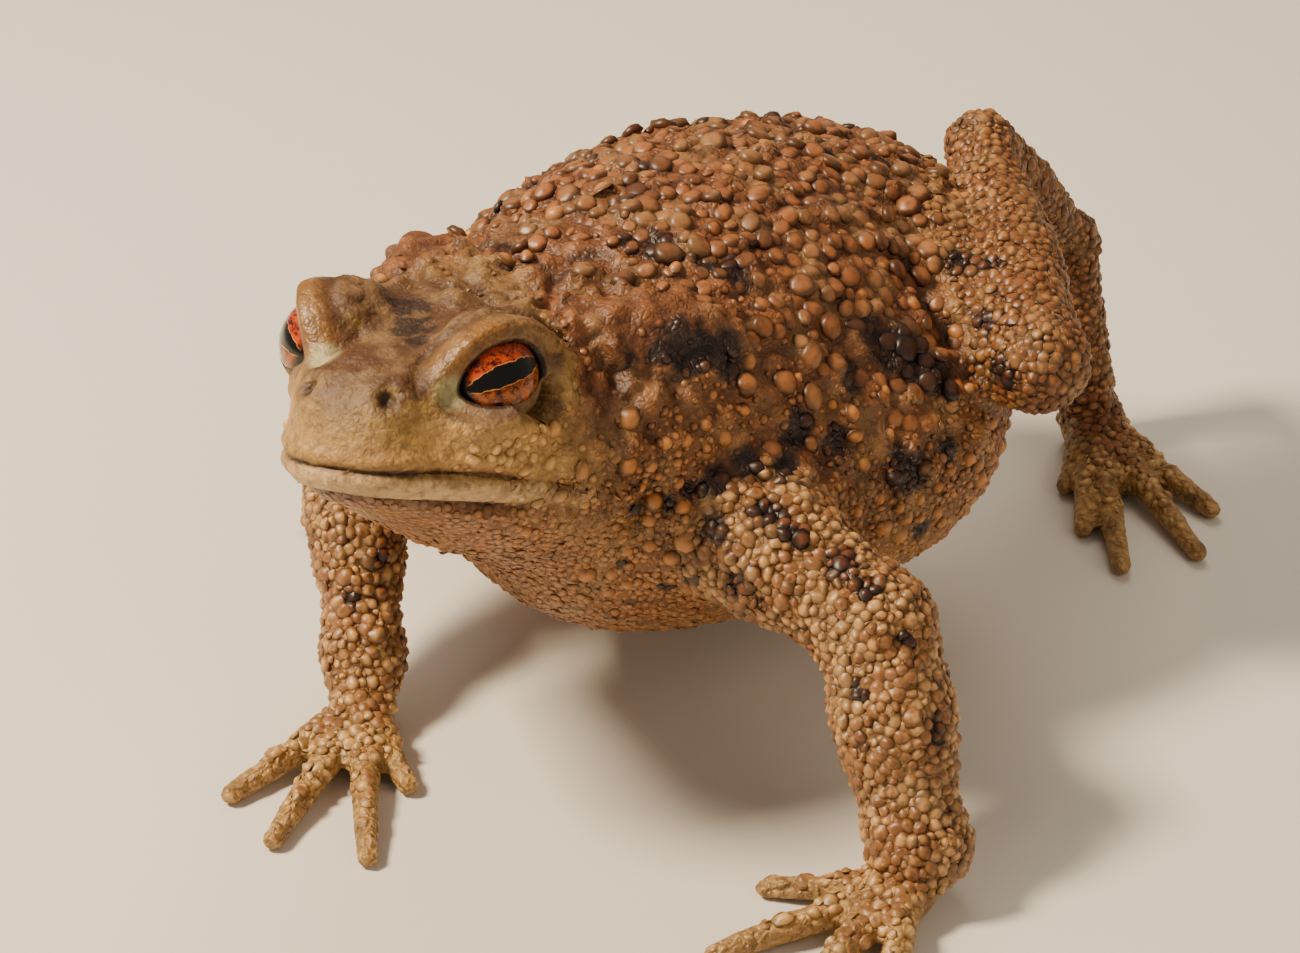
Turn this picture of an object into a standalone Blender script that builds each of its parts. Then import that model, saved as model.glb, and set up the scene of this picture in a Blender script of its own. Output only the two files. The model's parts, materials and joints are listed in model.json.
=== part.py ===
"""A life-size common toad, standing with its head raised, as a still museum model.

The flesh is fused from balls and tapered limbs, pulled onto one smooth blended
surface, set on the floor, and parted by thin cuts into named pieces. The eyes
and the warts are added to it. Sizes are in millimetres in the toad's own frame:
it faces -Y, its left side is +X, and the floor is at z = 0.
"""
import math
import random

import bmesh
import bpy
import numpy as np
from mathutils import Matrix, Vector

MM = 0.001
GAP = 0.3
PULL_STEPS = 6
PULL_SHARE = 0.85
PULL_REACH = 1.5
PROBE = 0.05
SEED = 7

# Head: its front is the middle of the mouth, and it is turned and tilted there.
SNOUT = np.array([3.5, -48.6, 46.6])
HEAD_YAW = 11.2
HEAD_NOSE_UP = 23.4
HEAD_ROLL = -5.8
EYE_CENTRE = np.array([9.4, 13.0, 9.3])
EYE_RADIUS = 5.0
EYE_LOOK = np.array([0.76, -0.60, 0.25])
# The toad in the photo holds its right eye and brow a little higher.
EYE_SHIFT = {1: np.zeros(3), -1: np.array([0.3, 0.0, 1.0])}
# The opening of the lids: half its length and height, how far out it lies and how it flares.
LID_LONG = 4.9
LID_TALL = 2.8
LID_TILT = 24.0
LID_EDGE = 3.6
LID_FLARE = 0.2
SOCKET_FLOOR = 1.0
CUTTER_REACH = 4.0
NOSTRIL = (4.4, 1.9, 7.2)
NOSTRIL_RADIUS = 0.8
MOUTH_DEPTH = 26.5
MOUTH_ROOM = 60.0
GLAND_RADII = (4.0, 4.6, 10.0)
GLAND_BLEND = 3.5

# Joints of the limbs, from the body outwards, with the flesh's radius there.
ARM_LEFT = [((16, -10, 32), 8.0), ((40.5, -9.5, 24.5), 6.3), ((51.5, -16, 6), 5.3)]
ARM_RIGHT = [((-13, -10, 35), 8.0), ((-26.5, -15, 28.5), 5.7), ((-14.5, -27, 6.5), 4.4)]
LEG_LEFT = [((5, 37, 40), 8.5), ((36, 24, 39), 5.6), ((9.6, 49.9, 46), 3.9),
            ((10.0, 68.5, 27), 3.1)]
LEG_RIGHT = [((-5, 37, 38), 8.5), ((-38, 20, 23), 5.6), ((-15, 46, 14), 3.9),
             ((-27, 31, 5.5), 3.2)]

# Palms, soles and digit tips, each set on the floor.
PALM_LEFT = (52.0, -19.0, 2.6)
PALM_RIGHT = (-11.5, -30.5, 2.6)
FINGERS_LEFT = [(40, -26), (43, -38), (54, -42), (62, -34)]
FINGERS_RIGHT = [(0, -36), (5.5, -48), (-4, -52), (-13, -49)]
SOLE_LEFT = (13.5, 70.0, 3.0)
SOLE_RIGHT = (-32.0, 22.0, 2.6)
TOES_LEFT = [(18, 58.5), (25, 52), (33, 48), (38, 56), (34, 65)]
TOES_RIGHT = [(-28, 11), (-34, 2), (-45, -4), (-54, 5), (-49, 14)]
DIGIT_ROOT = 1.9
DIGIT_TIP = 1.35
TIP_HEIGHT = 1.2
WEB_THICKNESS = 0.9
MUSCLE_PLACE = 0.4
MUSCLE_GIRTH = 1.04
MUSCLE_REACH = 0.42
KNUCKLE_PLACE = 0.38

# How finely each kind of form is fused, and how many triangles it keeps.
HEAD_MESH = (0.8, 2000)
TORSO_MESH = (1.4, 1800)
LENGTH_MESH = (0.8, 240)
HAND_MESH = (0.55, 560)
FOOT_MESH = (0.55, 640)
FLOOR_BLOCK = (300.0, 300.0, 40.0)

WART_SIZES = (1.0, 1.3, 1.75)
WART_COUNT = 105
WART_TRIES = 1500
WART_SPREAD = 2.0
WART_CLEAR = 0.8
WART_APART = 1.5
WART_SINK = 0.35
WART_HEIGHT = 1.0


def turn(axis, degrees):
    """A 3 by 3 rotation about one axis."""
    return np.array(Matrix.Rotation(math.radians(degrees), 3, axis))


HEAD_TURN = turn('Z', HEAD_YAW) @ turn('X', -HEAD_NOSE_UP) @ turn('Y', HEAD_ROLL)


def from_head(point):
    """A point of the head's own frame, in the toad's frame."""
    return SNOUT + HEAD_TURN @ np.array(point, float)


def both_sides(point):
    """The point on the left and its twin on the right."""
    x, y, z = point
    return (x, y, z), (-x, y, z)


class Ball:
    """A solid ellipsoid."""

    def __init__(self, centre, radii, blend, axes=None):
        self.centre = np.array(centre, float)
        self.radii = np.array(radii, float)
        self.blend = blend
        self.axes = np.eye(3) if axes is None else axes

    def distance(self, points):
        local = (points - self.centre) @ self.axes
        near = np.linalg.norm(local / self.radii, axis=1)
        slope = np.linalg.norm(local / self.radii ** 2, axis=1) + 1e-9
        return near * (near - 1.0) / slope

    def add_to(self, mesh):
        frame = Matrix(self.axes).to_4x4()
        frame.translation = Vector(self.centre)
        scale = Matrix.Diagonal(Vector((*self.radii, 1.0)))
        bmesh.ops.create_icosphere(mesh, subdivisions=3, radius=1.0, matrix=frame @ scale)


class Limb:
    """A tapered round length between two points."""

    def __init__(self, start, end, start_radius, end_radius, blend):
        self.start = np.array(start, float)
        self.end = np.array(end, float)
        self.start_radius = start_radius
        self.end_radius = end_radius
        self.blend = blend

    def distance(self, points):
        along = self.end - self.start
        part = np.clip((points - self.start) @ along / (along @ along), 0.0, 1.0)
        radius = self.start_radius + (self.end_radius - self.start_radius) * part
        return np.linalg.norm(points - self.start - part[:, None] * along, axis=1) - radius

    def add_to(self, mesh):
        piece = bmesh.new()
        for point, radius in ((self.start, self.start_radius), (self.end, self.end_radius)):
            place = Matrix.Translation(Vector(point))
            bmesh.ops.create_icosphere(piece, subdivisions=2, radius=radius, matrix=place)
        bmesh.ops.convex_hull(piece, input=piece.verts)
        loose = [v for v in piece.verts if not v.link_faces]
        bmesh.ops.delete(piece, geom=loose, context='VERTS')
        bmesh.ops.recalc_face_normals(piece, faces=piece.faces)
        data = bpy.data.meshes.new('limb')
        piece.to_mesh(data)
        piece.free()
        mesh.from_mesh(data)
        bpy.data.meshes.remove(data)


def head_forms():
    """The head's own forms, given in its frame and turned into place."""
    middle = [
        ((0, 18.5, 4.8), (12.0, 17.5, 8.8), 4.0),
        ((0, 8.2, 3.0), (7.2, 8.4, 6.2), 3.0),
        ((0, 29, 8.3), (13.5, 14, 9.5), 5.0),
        ((0, 19.5, -0.8), (12.0, 18, 4.5), 3.0),
    ]
    paired = [
        ((12.6, 27, 2.4), (5.4, 8, 6.8), 4.0),
    ]
    brows = [
        ((8.9, 14.2, 10.0), (6.0, 7.2, 6.2), 2.0),
        ((-8.2, 14.2, 11.2), (6.0, 7.2, 6.2), 2.0),
    ]
    forms = [Ball(from_head(c), r, k, HEAD_TURN) for c, r, k in middle]
    for centre, radii, blend in paired:
        forms += [Ball(from_head(c), radii, blend, HEAD_TURN) for c in both_sides(centre)]
    forms += [Ball(from_head(c), r, k, HEAD_TURN) for c, r, k in brows]
    ridges = [
        ((2.8, 4.1, 0.8), (13.4, 25, 1.2), 3.3, 4.6, 3.0),
        ((3.6, 4.6, 6.2), (6.6, 10.4, 9.6), 1.9, 2.2, 2.5),
    ]
    for start, end, first, last, blend in ridges:
        for a, b in zip(both_sides(start), both_sides(end)):
            forms.append(Limb(from_head(a), from_head(b), first, last, blend))
    return forms


def gland(middle, toward_rear):
    """The long low swelling behind an eye."""
    axis = Vector(np.array(toward_rear) - np.array(middle))
    frame = np.array(axis.to_track_quat('Z', 'Y').to_matrix())
    return Ball(middle, GLAND_RADII, GLAND_BLEND, frame)


def body_forms():
    """Chest, belly, back, rump, throat, shoulders and the glands behind the head."""
    return [
        Ball((3, -5, 31.5), (21.5, 21, 21), 8.0),
        Ball((2.5, 15, 28.5), (31.5, 26, 21), 12.0),
        Ball((0, 9, 41), (21, 28, 15), 8.0),
        Ball((1, 33, 36), (17, 14, 13), 9.0),
        Ball((1, -24, 39.5), (15, 14, 12.5), 8.0),
        Ball((11, -12, 41), (10, 12, 9), 5.0),
        Ball((-11, -13, 40), (10, 12, 9), 5.0),
        gland((13.2, -12.8, 48.8), (17.5, -5.5, 47.0)),
        gland((-15.0, -15.8, 47.0), (-19.5, -9.5, 44.5)),
    ]


def length_forms(joints, i):
    """One length of a limb: a tapered round bone's worth with a swell of muscle."""
    (start, first), (end, last) = joints[i], joints[i + 1]
    start, end = np.array(start, float), np.array(end, float)
    reach = np.linalg.norm(end - start)
    axis = Vector(end - start).normalized()
    frame = np.array(axis.to_track_quat('Z', 'Y').to_matrix())
    middle = start + (end - start) * MUSCLE_PLACE
    girth = (first + (last - first) * MUSCLE_PLACE) * MUSCLE_GIRTH
    return [
        Limb(start, end, first * 0.88, last * 0.92, 2.0),
        Ball(middle, (girth, girth, reach * MUSCLE_REACH), 2.0, frame),
    ]


def digit_forms(wrist, palm, tips, web=False):
    """Digits that run from the palm or sole to their tips on the floor."""
    palm = np.array(palm, float)
    forms = [Limb(wrist[0], palm, wrist[1] * 0.95, 3.3, 2.0)]
    ends = [np.array([x, y, TIP_HEIGHT]) for x, y in tips]
    for end in ends:
        knuckle = palm + (end - palm) * KNUCKLE_PLACE
        knuckle[2] = palm[2] * 0.75 + 0.3
        forms.append(Limb(palm, knuckle, 2.6, DIGIT_ROOT, 1.2))
        forms.append(Limb(knuckle, end, DIGIT_ROOT, DIGIT_TIP, 0.6))
    if web:
        for first, second in zip(ends[:-1], ends[1:]):
            edge = palm * 0.55 + (first + second) * 0.225
            edge[2] = 1.4
            forms.append(Limb(palm, edge, 2.4, WEB_THICKNESS, 2.2))
    return forms


def smooth_least(a, b, width):
    """The lesser of two distances, rounded where they are near each other."""
    near = np.maximum(width - np.abs(a - b), 0.0) / width
    return np.minimum(a, b) - near * near * width * 0.25


def blended(forms, points):
    """The distance to several forms that run into each other."""
    total = forms[0].distance(points)
    for form in forms[1:]:
        total = smooth_least(total, form.distance(points), form.blend)
    return total


def slope(forms, points):
    """The direction in which the distance to the blended forms grows fastest."""
    steps = np.eye(3) * PROBE
    sides = [blended(forms, points + d) - blended(forms, points - d) for d in steps]
    rise = np.stack(sides, axis=1)
    return rise / (np.linalg.norm(rise, axis=1, keepdims=True) + 1e-9)


def new_object(name, mesh):
    """An object for a bmesh, which is freed."""
    data = bpy.data.meshes.new(name)
    mesh.to_mesh(data)
    mesh.free()
    made = bpy.data.objects.new(name, data)
    bpy.context.scene.collection.objects.link(made)
    return made


def apply_modifiers(thing):
    """Replace an object's mesh by the one that its modifiers give."""
    depsgraph = bpy.context.evaluated_depsgraph_get()
    depsgraph.update()
    done = bpy.data.meshes.new_from_object(thing.evaluated_get(depsgraph), depsgraph=depsgraph)
    thing.modifiers.clear()
    thing.data = done


def pull_onto(forms, thing):
    """Move every point of a mesh onto the smooth surface of the blended forms."""
    points = np.empty(len(thing.data.vertices) * 3)
    thing.data.vertices.foreach_get('co', points)
    points = points.reshape(-1, 3)
    for _ in range(PULL_STEPS):
        reach = np.clip(blended(forms, points), -PULL_REACH, PULL_REACH)
        points -= slope(forms, points) * reach[:, None] * PULL_SHARE
    thing.data.vertices.foreach_set('co', points.ravel())
    thing.data.update()


def fused(name, forms, voxel, faces):
    """Forms fused to one closed skin of about so many triangles."""
    mesh = bmesh.new()
    for form in forms:
        form.add_to(mesh)
    skin = new_object(name, mesh)
    fuse = skin.modifiers.new('fuse', 'REMESH')
    fuse.mode = 'VOXEL'
    fuse.voxel_size = voxel
    relax = skin.modifiers.new('relax', 'SMOOTH')
    relax.factor = 0.5
    relax.iterations = 2
    apply_modifiers(skin)
    pull_onto(forms, skin)
    thin = skin.modifiers.new('thin', 'DECIMATE')
    thin.use_collapse_triangulate = True
    thin.ratio = min(1.0, faces / (2.0 * len(skin.data.polygons)))
    apply_modifiers(skin)
    return skin


def swollen(thing, amount):
    """A cutter: a copy of a solid with its surface moved outwards."""
    copy = thing.copy()
    copy.data = thing.data.copy()
    bpy.context.scene.collection.objects.link(copy)
    grow = copy.modifiers.new('grow', 'DISPLACE')
    grow.mid_level = 0.0
    grow.strength = amount
    return as_cutter(copy)


def as_cutter(thing):
    """Mark an object as a tool that is no part of the toad."""
    thing.hide_render = True
    thing.display_type = 'WIRE'
    return thing


def cut_away(thing, tools, operation='DIFFERENCE', solver='EXACT'):
    """Cut tools out of a solid, or join them to it, and keep its largest closed surface."""
    for tool in tools:
        step = thing.modifiers.new(tool.name, 'BOOLEAN')
        step.operation = operation
        step.solver = solver
        step.object = tool
    apply_modifiers(thing)
    for tool in tools:
        bpy.data.objects.remove(tool)
    keep_largest(thing)


def keep_largest(thing):
    """Drop every closed surface of a mesh but the one with most faces."""
    mesh = bmesh.new()
    mesh.from_mesh(thing.data)
    left = set(mesh.faces)
    largest = set()
    while left:
        found = {left.pop()}
        edge = list(found)
        while edge:
            face = edge.pop()
            near = {f for e in face.edges for f in e.link_faces} & left
            left -= near
            found |= near
            edge += near
        if len(found) > len(largest):
            largest = found
    drop = [f for f in mesh.faces if f not in largest]
    bmesh.ops.delete(mesh, geom=drop, context='FACES')
    bmesh.ops.delete(mesh, geom=[v for v in mesh.verts if not v.link_faces], context='VERTS')
    mesh.to_mesh(thing.data)
    mesh.free()


def block(name, centre, size, axes):
    """A box cutter, turned to a frame."""
    place = Matrix(axes).to_4x4()
    place.translation = Vector(centre)
    mesh = bmesh.new()
    scale = Matrix.Diagonal(Vector((*size, 1.0)))
    bmesh.ops.create_cube(mesh, size=1.0, matrix=place @ scale)
    return as_cutter(new_object(name, mesh))


def sphere(name, centre, radii, axes, fineness):
    """A ball or an egg shape, turned to a frame."""
    place = Matrix(axes).to_4x4()
    place.translation = Vector(centre)
    mesh = bmesh.new()
    scale = Matrix.Diagonal(Vector((*radii, 1.0)))
    bmesh.ops.create_icosphere(mesh, subdivisions=fineness, radius=1.0, matrix=place @ scale)
    return new_object(name, mesh)


def eye_frame(side):
    """An eyeball's middle, and the long, upright and looking axes of its lids."""
    flip = np.array([side, 1.0, 1.0])
    look = EYE_LOOK * flip / np.linalg.norm(EYE_LOOK)
    along = np.cross([0.0, 0.0, 1.0], look) * side
    along /= np.linalg.norm(along)
    upright = np.cross(look, along) * side
    tilt = math.radians(LID_TILT)
    long_axis = along * math.cos(tilt) + upright * math.sin(tilt)
    tall_axis = upright * math.cos(tilt) - along * math.sin(tilt)
    axes = [HEAD_TURN @ axis for axis in (long_axis, tall_axis, look)]
    return from_head(EYE_CENTRE * flip + EYE_SHIFT[side]), axes


def lid_cutter(side):
    """A flared egg-shaped hole from the floor of an eye socket out past the lids."""
    centre, axes = eye_frame(side)
    place = Matrix(np.array(axes).T).to_4x4()
    place.translation = Vector(centre)
    tip = LID_EDGE + CUTTER_REACH
    near = 1.0 - LID_FLARE * (LID_EDGE - SOCKET_FLOOR) / LID_TALL
    far = 1.0 + LID_FLARE * CUTTER_REACH / LID_TALL
    middle = Matrix.Translation(Vector((0, 0, (tip + SOCKET_FLOOR) / 2.0)))
    stretch = Matrix.Diagonal(Vector((LID_LONG, LID_TALL, 1.0, 1.0)))
    mesh = bmesh.new()
    bmesh.ops.create_cone(
        mesh, cap_ends=True, cap_tris=True, segments=32, radius1=near, radius2=far,
        depth=tip - SOCKET_FLOOR, matrix=place @ middle @ stretch)
    bmesh.ops.recalc_face_normals(mesh, faces=mesh.faces)
    return as_cutter(new_object('lid_opening', mesh))


def make_eyes(head):
    """Both eyeballs, each in a socket with its lids round it."""
    eyes = []
    tools = []
    for side, word in ((1, 'left'), (-1, 'right')):
        centre = eye_frame(side)[0]
        eyes.append(sphere('eye_' + word, centre, [EYE_RADIUS] * 3, HEAD_TURN, 3))
        socket = sphere('socket', centre, [EYE_RADIUS + GAP] * 3, HEAD_TURN, 3)
        nose = from_head(np.array(NOSTRIL) * (side, 1, 1))
        nostril = sphere('nostril', nose, [NOSTRIL_RADIUS] * 3, HEAD_TURN, 1)
        tools += [as_cutter(socket), lid_cutter(side), as_cutter(nostril)]
    cut_away(head, tools)
    return eyes


def split_the_mouth(head):
    """Part the lower jaw from the head along the line of the mouth."""
    jaw = head.copy()
    jaw.data = head.data.copy()
    jaw.name = 'lower_jaw'
    bpy.context.scene.collection.objects.link(jaw)
    for thing, back, top, action in ((head, MOUTH_DEPTH, GAP / 2.0, 'DIFFERENCE'),
                                     (jaw, MOUTH_DEPTH - GAP, -GAP / 2.0, 'INTERSECT')):
        low, front = -MOUTH_ROOM, -MOUTH_ROOM
        middle = from_head((0, (front + back) / 2.0, (low + top) / 2.0))
        size = (2.0 * MOUTH_ROOM, back - front, top - low)
        cut_away(thing, [block('mouth', middle, size, HEAD_TURN)], action)
    return jaw


def wart_places():
    """Where the torso's warts stand, how they lean and how large they are."""
    draw = random.Random(SEED)
    limbs = [f for joints in (ARM_LEFT, ARM_RIGHT, LEG_LEFT, LEG_RIGHT)
             for i in range(len(joints) - 1) for f in length_forms(joints, i)]
    body, head = body_forms(), head_forms()
    placed = []
    for _ in range(WART_TRIES):
        around = draw.uniform(-WART_SPREAD, WART_SPREAD)
        along = draw.uniform(-26.0, 46.0)
        size = draw.choice(WART_SIZES) * draw.uniform(0.85, 1.2)
        point = np.array([[40.0 * math.sin(around), along, 30.0 + 30.0 * math.cos(around)]])
        for _ in range(12):
            point = point - slope(body, point) * blended(body, point)[:, None]
        spot = point[0]
        clear = min(blended(head, point)[0], blended(limbs, point)[0]) > size + WART_CLEAR
        apart = all(np.linalg.norm(spot - other) > (size + wide) * WART_APART
                    for other, _, wide in placed)
        if clear and apart:
            placed.append((spot, slope(body, point)[0], size))
        if len(placed) == WART_COUNT:
            break
    return placed


def add_warts(torso):
    """Low round warts, rooted in the torso and fused with it."""
    group = bpy.data.collections.new('warts')
    for place, normal, size in wart_places():
        frame = Vector(normal).to_track_quat('Z', 'Y').to_matrix().to_4x4()
        frame.translation = Vector(place - normal * size * WART_SINK)
        shape = frame @ Matrix.Diagonal(Vector((size, size, size * WART_HEIGHT, 1.0)))
        mesh = bmesh.new()
        bmesh.ops.create_uvsphere(mesh, u_segments=6, v_segments=4, radius=1.0, matrix=shape)
        wart = as_cutter(new_object('wart', mesh))
        group.objects.link(wart)
    join = torso.modifiers.new('warts', 'BOOLEAN')
    join.operation = 'UNION'
    join.operand_type = 'COLLECTION'
    join.solver = 'MANIFOLD'
    join.collection = group
    apply_modifiers(torso)
    for wart in list(group.objects):
        bpy.data.objects.remove(wart)
    bpy.data.collections.remove(group)
    keep_largest(torso)


def boxes_meet(first, second):
    """Whether the boxes round two objects come near each other."""
    spans = []
    for thing in (first, second):
        corners = np.array([v.co for v in thing.data.vertices])
        spans.append((corners.min(axis=0) - 1.0, corners.max(axis=0) + 1.0))
    (low_a, high_a), (low_b, high_b) = spans
    return bool(np.all(low_a < high_b) and np.all(low_b < high_a))


def fit_against(thing, others):
    """Cut a new piece clear of the pieces that it meets."""
    near = [other for other in others if boxes_meet(thing, other)]
    cut_away(thing, [swollen(other, GAP) for other in near], solver='MANIFOLD')


def limb_nodes():
    """The name, forms and fineness of each length of each leg."""
    plan = []
    for side, arm, leg in (('left', ARM_LEFT, LEG_LEFT), ('right', ARM_RIGHT, LEG_RIGHT)):
        for i, word in enumerate(('upper_arm', 'forearm')):
            plan.append((word + '_' + side, length_forms(arm, i), LENGTH_MESH))
        for i, word in enumerate(('thigh', 'shank', 'tarsus')):
            plan.append((word + '_' + side, length_forms(leg, i), LENGTH_MESH))
    hands = (('hand_left', ARM_LEFT, PALM_LEFT, FINGERS_LEFT),
             ('hand_right', ARM_RIGHT, PALM_RIGHT, FINGERS_RIGHT))
    feet = (('foot_left', LEG_LEFT, SOLE_LEFT, TOES_LEFT),
            ('foot_right', LEG_RIGHT, SOLE_RIGHT, TOES_RIGHT))
    for name, joints, palm, tips in hands:
        plan.append((name, digit_forms(joints[-1], palm, tips), HAND_MESH))
    for name, joints, palm, tips in feet:
        plan.append((name, digit_forms(joints[-1], palm, tips, web=True), FOOT_MESH))
    return plan


def skin_material(name, colour, roughness):
    """A plain Principled material."""
    made = bpy.data.materials.new(name)
    made.use_nodes = True
    shader = made.node_tree.nodes['Principled BSDF']
    shader.inputs['Base Color'].default_value = (*colour, 1.0)
    shader.inputs['Roughness'].default_value = roughness
    shader.inputs['Metallic'].default_value = 0.0
    return made


def finish(nodes):
    """Give each node its colour, its real size and the part's own origin."""
    looks = {
        'eye': ((0.30, 0.07, 0.02), 0.15),
        'lower_jaw': ((0.42, 0.29, 0.16), 0.5),
        'hand': ((0.42, 0.27, 0.13), 0.45),
        'foot': ((0.36, 0.22, 0.11), 0.45),
    }
    corners = np.array([v.co for node in nodes for v in node.data.vertices])
    low, high = corners.min(axis=0), corners.max(axis=0)
    middle = Vector(((low[0] + high[0]) / 2.0, (low[1] + high[1]) / 2.0, low[2]))
    print('origin of the part in millimetres', [round(v, 3) for v in middle])
    shift = Matrix.Translation(-middle)
    for node in nodes:
        look = [v for k, v in looks.items() if node.name.startswith(k)]
        colour, roughness = look[0] if look else ((0.25, 0.13, 0.06), 0.45)
        node.data.materials.clear()
        node.data.materials.append(skin_material(node.name + '_skin', colour, roughness))
        node.data.transform(Matrix.Scale(MM, 4) @ shift)
        node.data.shade_smooth()


def main():
    for thing in list(bpy.data.objects):
        bpy.data.objects.remove(thing)
    head = fused('head', head_forms(), *HEAD_MESH)
    torso = fused('torso', body_forms(), *TORSO_MESH)
    fit_against(torso, [head])
    nodes = [head, torso]
    for name, forms, fineness in limb_nodes():
        piece = fused(name, forms, *fineness)
        fit_against(piece, nodes)
        below = (0.0, 0.0, -FLOOR_BLOCK[2] / 2.0)
        cut_away(piece, [block('floor', below, FLOOR_BLOCK, np.eye(3))])
        nodes.append(piece)
    nodes += make_eyes(head)
    nodes.append(split_the_mouth(head))
    add_warts(torso)
    finish(nodes)


main()
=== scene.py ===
# %% [markdown]
# # A common toad, life size
# This notebook dresses a still model of a toad. The imported solids give its
# size and place; here one living-looking skin is laid over them, with warts,
# beads, eyes and markings. We start with the frame, since the finished toad is
# laid in the same space as the solids.

# %% The frame
import json
import math
import random

import bmesh
import bpy
import mathutils.noise
import numpy as np
from mathutils import Matrix, Vector

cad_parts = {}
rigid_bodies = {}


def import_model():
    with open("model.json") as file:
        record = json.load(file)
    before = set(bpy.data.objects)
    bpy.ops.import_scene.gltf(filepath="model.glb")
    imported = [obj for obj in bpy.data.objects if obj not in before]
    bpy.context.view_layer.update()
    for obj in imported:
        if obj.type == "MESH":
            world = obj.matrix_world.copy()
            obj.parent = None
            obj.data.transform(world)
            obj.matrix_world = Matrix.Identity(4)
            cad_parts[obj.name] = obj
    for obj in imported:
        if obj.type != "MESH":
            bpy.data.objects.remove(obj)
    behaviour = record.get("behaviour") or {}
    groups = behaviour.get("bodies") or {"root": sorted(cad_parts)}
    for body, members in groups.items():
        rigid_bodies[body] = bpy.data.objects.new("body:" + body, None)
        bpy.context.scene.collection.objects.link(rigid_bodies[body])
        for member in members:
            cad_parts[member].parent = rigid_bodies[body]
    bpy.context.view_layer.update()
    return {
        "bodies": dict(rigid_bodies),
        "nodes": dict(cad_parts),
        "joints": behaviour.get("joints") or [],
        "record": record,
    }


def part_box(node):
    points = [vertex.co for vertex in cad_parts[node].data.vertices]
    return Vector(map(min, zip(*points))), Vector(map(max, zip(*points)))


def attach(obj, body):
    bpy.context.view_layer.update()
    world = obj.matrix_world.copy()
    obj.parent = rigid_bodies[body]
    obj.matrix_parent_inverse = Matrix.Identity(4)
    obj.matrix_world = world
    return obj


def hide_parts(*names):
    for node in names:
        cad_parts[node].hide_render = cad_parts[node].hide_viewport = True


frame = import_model()

# %% [markdown]
# ## The toad's own frame
# A head is easier to shape along its own axes than in the room's. So the toad
# keeps a frame of its own in millimetres, facing -Y with the floor at zero, and
# the head has one inside that, turned a little to the left and tilted up. The
# left eyeball ties the toad's frame to the solids, since both know where it is.

# %% Frames and sizes
MM = 0.001
SNOUT = np.array([3.5, -48.6, 46.6])
HEAD_YAW = 11.2
HEAD_NOSE_UP = 23.4
HEAD_ROLL = -5.8
EYE_CENTRE = np.array([9.4, 13.0, 9.3])
EYE_RADIUS = 5.0
EYE_LOOK = np.array([0.76, -0.60, 0.25])
# A side is the sign of x: 1 is the toad's left and -1 its right. The toad in the
# photo holds its right eye and brow a little higher.
SIDES = (1, -1)
EYE_SHIFT = {1: np.zeros(3), -1: np.array([0.3, 0.0, 1.0])}


def turn(axis, degrees):
    """A 3 by 3 rotation about one axis."""
    return np.array(Matrix.Rotation(math.radians(degrees), 3, axis))


HEAD_TURN = turn('Z', HEAD_YAW) @ turn('X', -HEAD_NOSE_UP) @ turn('Y', HEAD_ROLL)


def from_head(point):
    """A point of the head's own frame, in the toad's frame."""
    return SNOUT + HEAD_TURN @ np.array(point, float)


def in_head(points):
    """Points of the toad's frame, in the head's own frame."""
    return (points - SNOUT) @ HEAD_TURN


low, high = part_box("eye_left")
eye_in_solids = (np.array(low) + np.array(high)) / 2.0 / MM
ORIGIN = from_head(EYE_CENTRE) - eye_in_solids
print("origin of the solids in the toad's frame, mm", ORIGIN.round(2))

# %% [markdown]
# ## Balls and limbs
# Flesh is muscle on bone: round masses that run into each other. Each mass is
# an ellipsoid or a tapered limb, and each knows two things, how to add itself
# to a mesh and how far any point is from its surface. The first gives a rough
# closed skin, and the second lets us pull that skin smooth.

# %% Two kinds of mass
FAR = 1000.0
REACH_PAST_BLEND = 4.0
REACH_FACTOR = 2.5


class Ball:
    """A solid ellipsoid."""

    def __init__(self, centre, radii, blend, axes=None):
        self.centre = np.array(centre, float)
        self.radii = np.array(radii, float)
        self.blend = blend
        self.axes = np.eye(3) if axes is None else axes
        self.middle, self.size = self.centre, max(radii)

    def distance(self, points):
        local = (points - self.centre) @ self.axes
        near = np.linalg.norm(local / self.radii, axis=1)
        slope = np.linalg.norm(local / self.radii ** 2, axis=1) + 1e-9
        return near * (near - 1.0) / slope

    def add_to(self, mesh):
        frame = Matrix(self.axes).to_4x4()
        frame.translation = Vector(self.centre)
        scale = Matrix.Diagonal(Vector((*self.radii, 1.0)))
        bmesh.ops.create_icosphere(mesh, subdivisions=4, radius=1.0, matrix=frame @ scale)


class Limb:
    """A tapered round length between two points."""

    def __init__(self, start, end, start_radius, end_radius, blend):
        self.start = np.array(start, float)
        self.end = np.array(end, float)
        self.start_radius = start_radius
        self.end_radius = end_radius
        self.blend = blend
        self.middle = (self.start + self.end) / 2.0
        half = np.linalg.norm(self.end - self.start) / 2.0
        self.size = half + max(start_radius, end_radius)

    def distance(self, points):
        along = self.end - self.start
        part = np.clip((points - self.start) @ along / (along @ along), 0.0, 1.0)
        radius = self.start_radius + (self.end_radius - self.start_radius) * part
        return np.linalg.norm(points - self.start - part[:, None] * along, axis=1) - radius

    def add_to(self, mesh):
        piece = bmesh.new()
        for point, radius in ((self.start, self.start_radius), (self.end, self.end_radius)):
            place = Matrix.Translation(Vector(point))
            bmesh.ops.create_icosphere(piece, subdivisions=3, radius=radius, matrix=place)
        bmesh.ops.convex_hull(piece, input=piece.verts)
        loose = [v for v in piece.verts if not v.link_faces]
        bmesh.ops.delete(piece, geom=loose, context='VERTS')
        bmesh.ops.recalc_face_normals(piece, faces=piece.faces)
        data = bpy.data.meshes.new('limb')
        piece.to_mesh(data)
        piece.free()
        mesh.from_mesh(data)
        bpy.data.meshes.remove(data)


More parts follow.
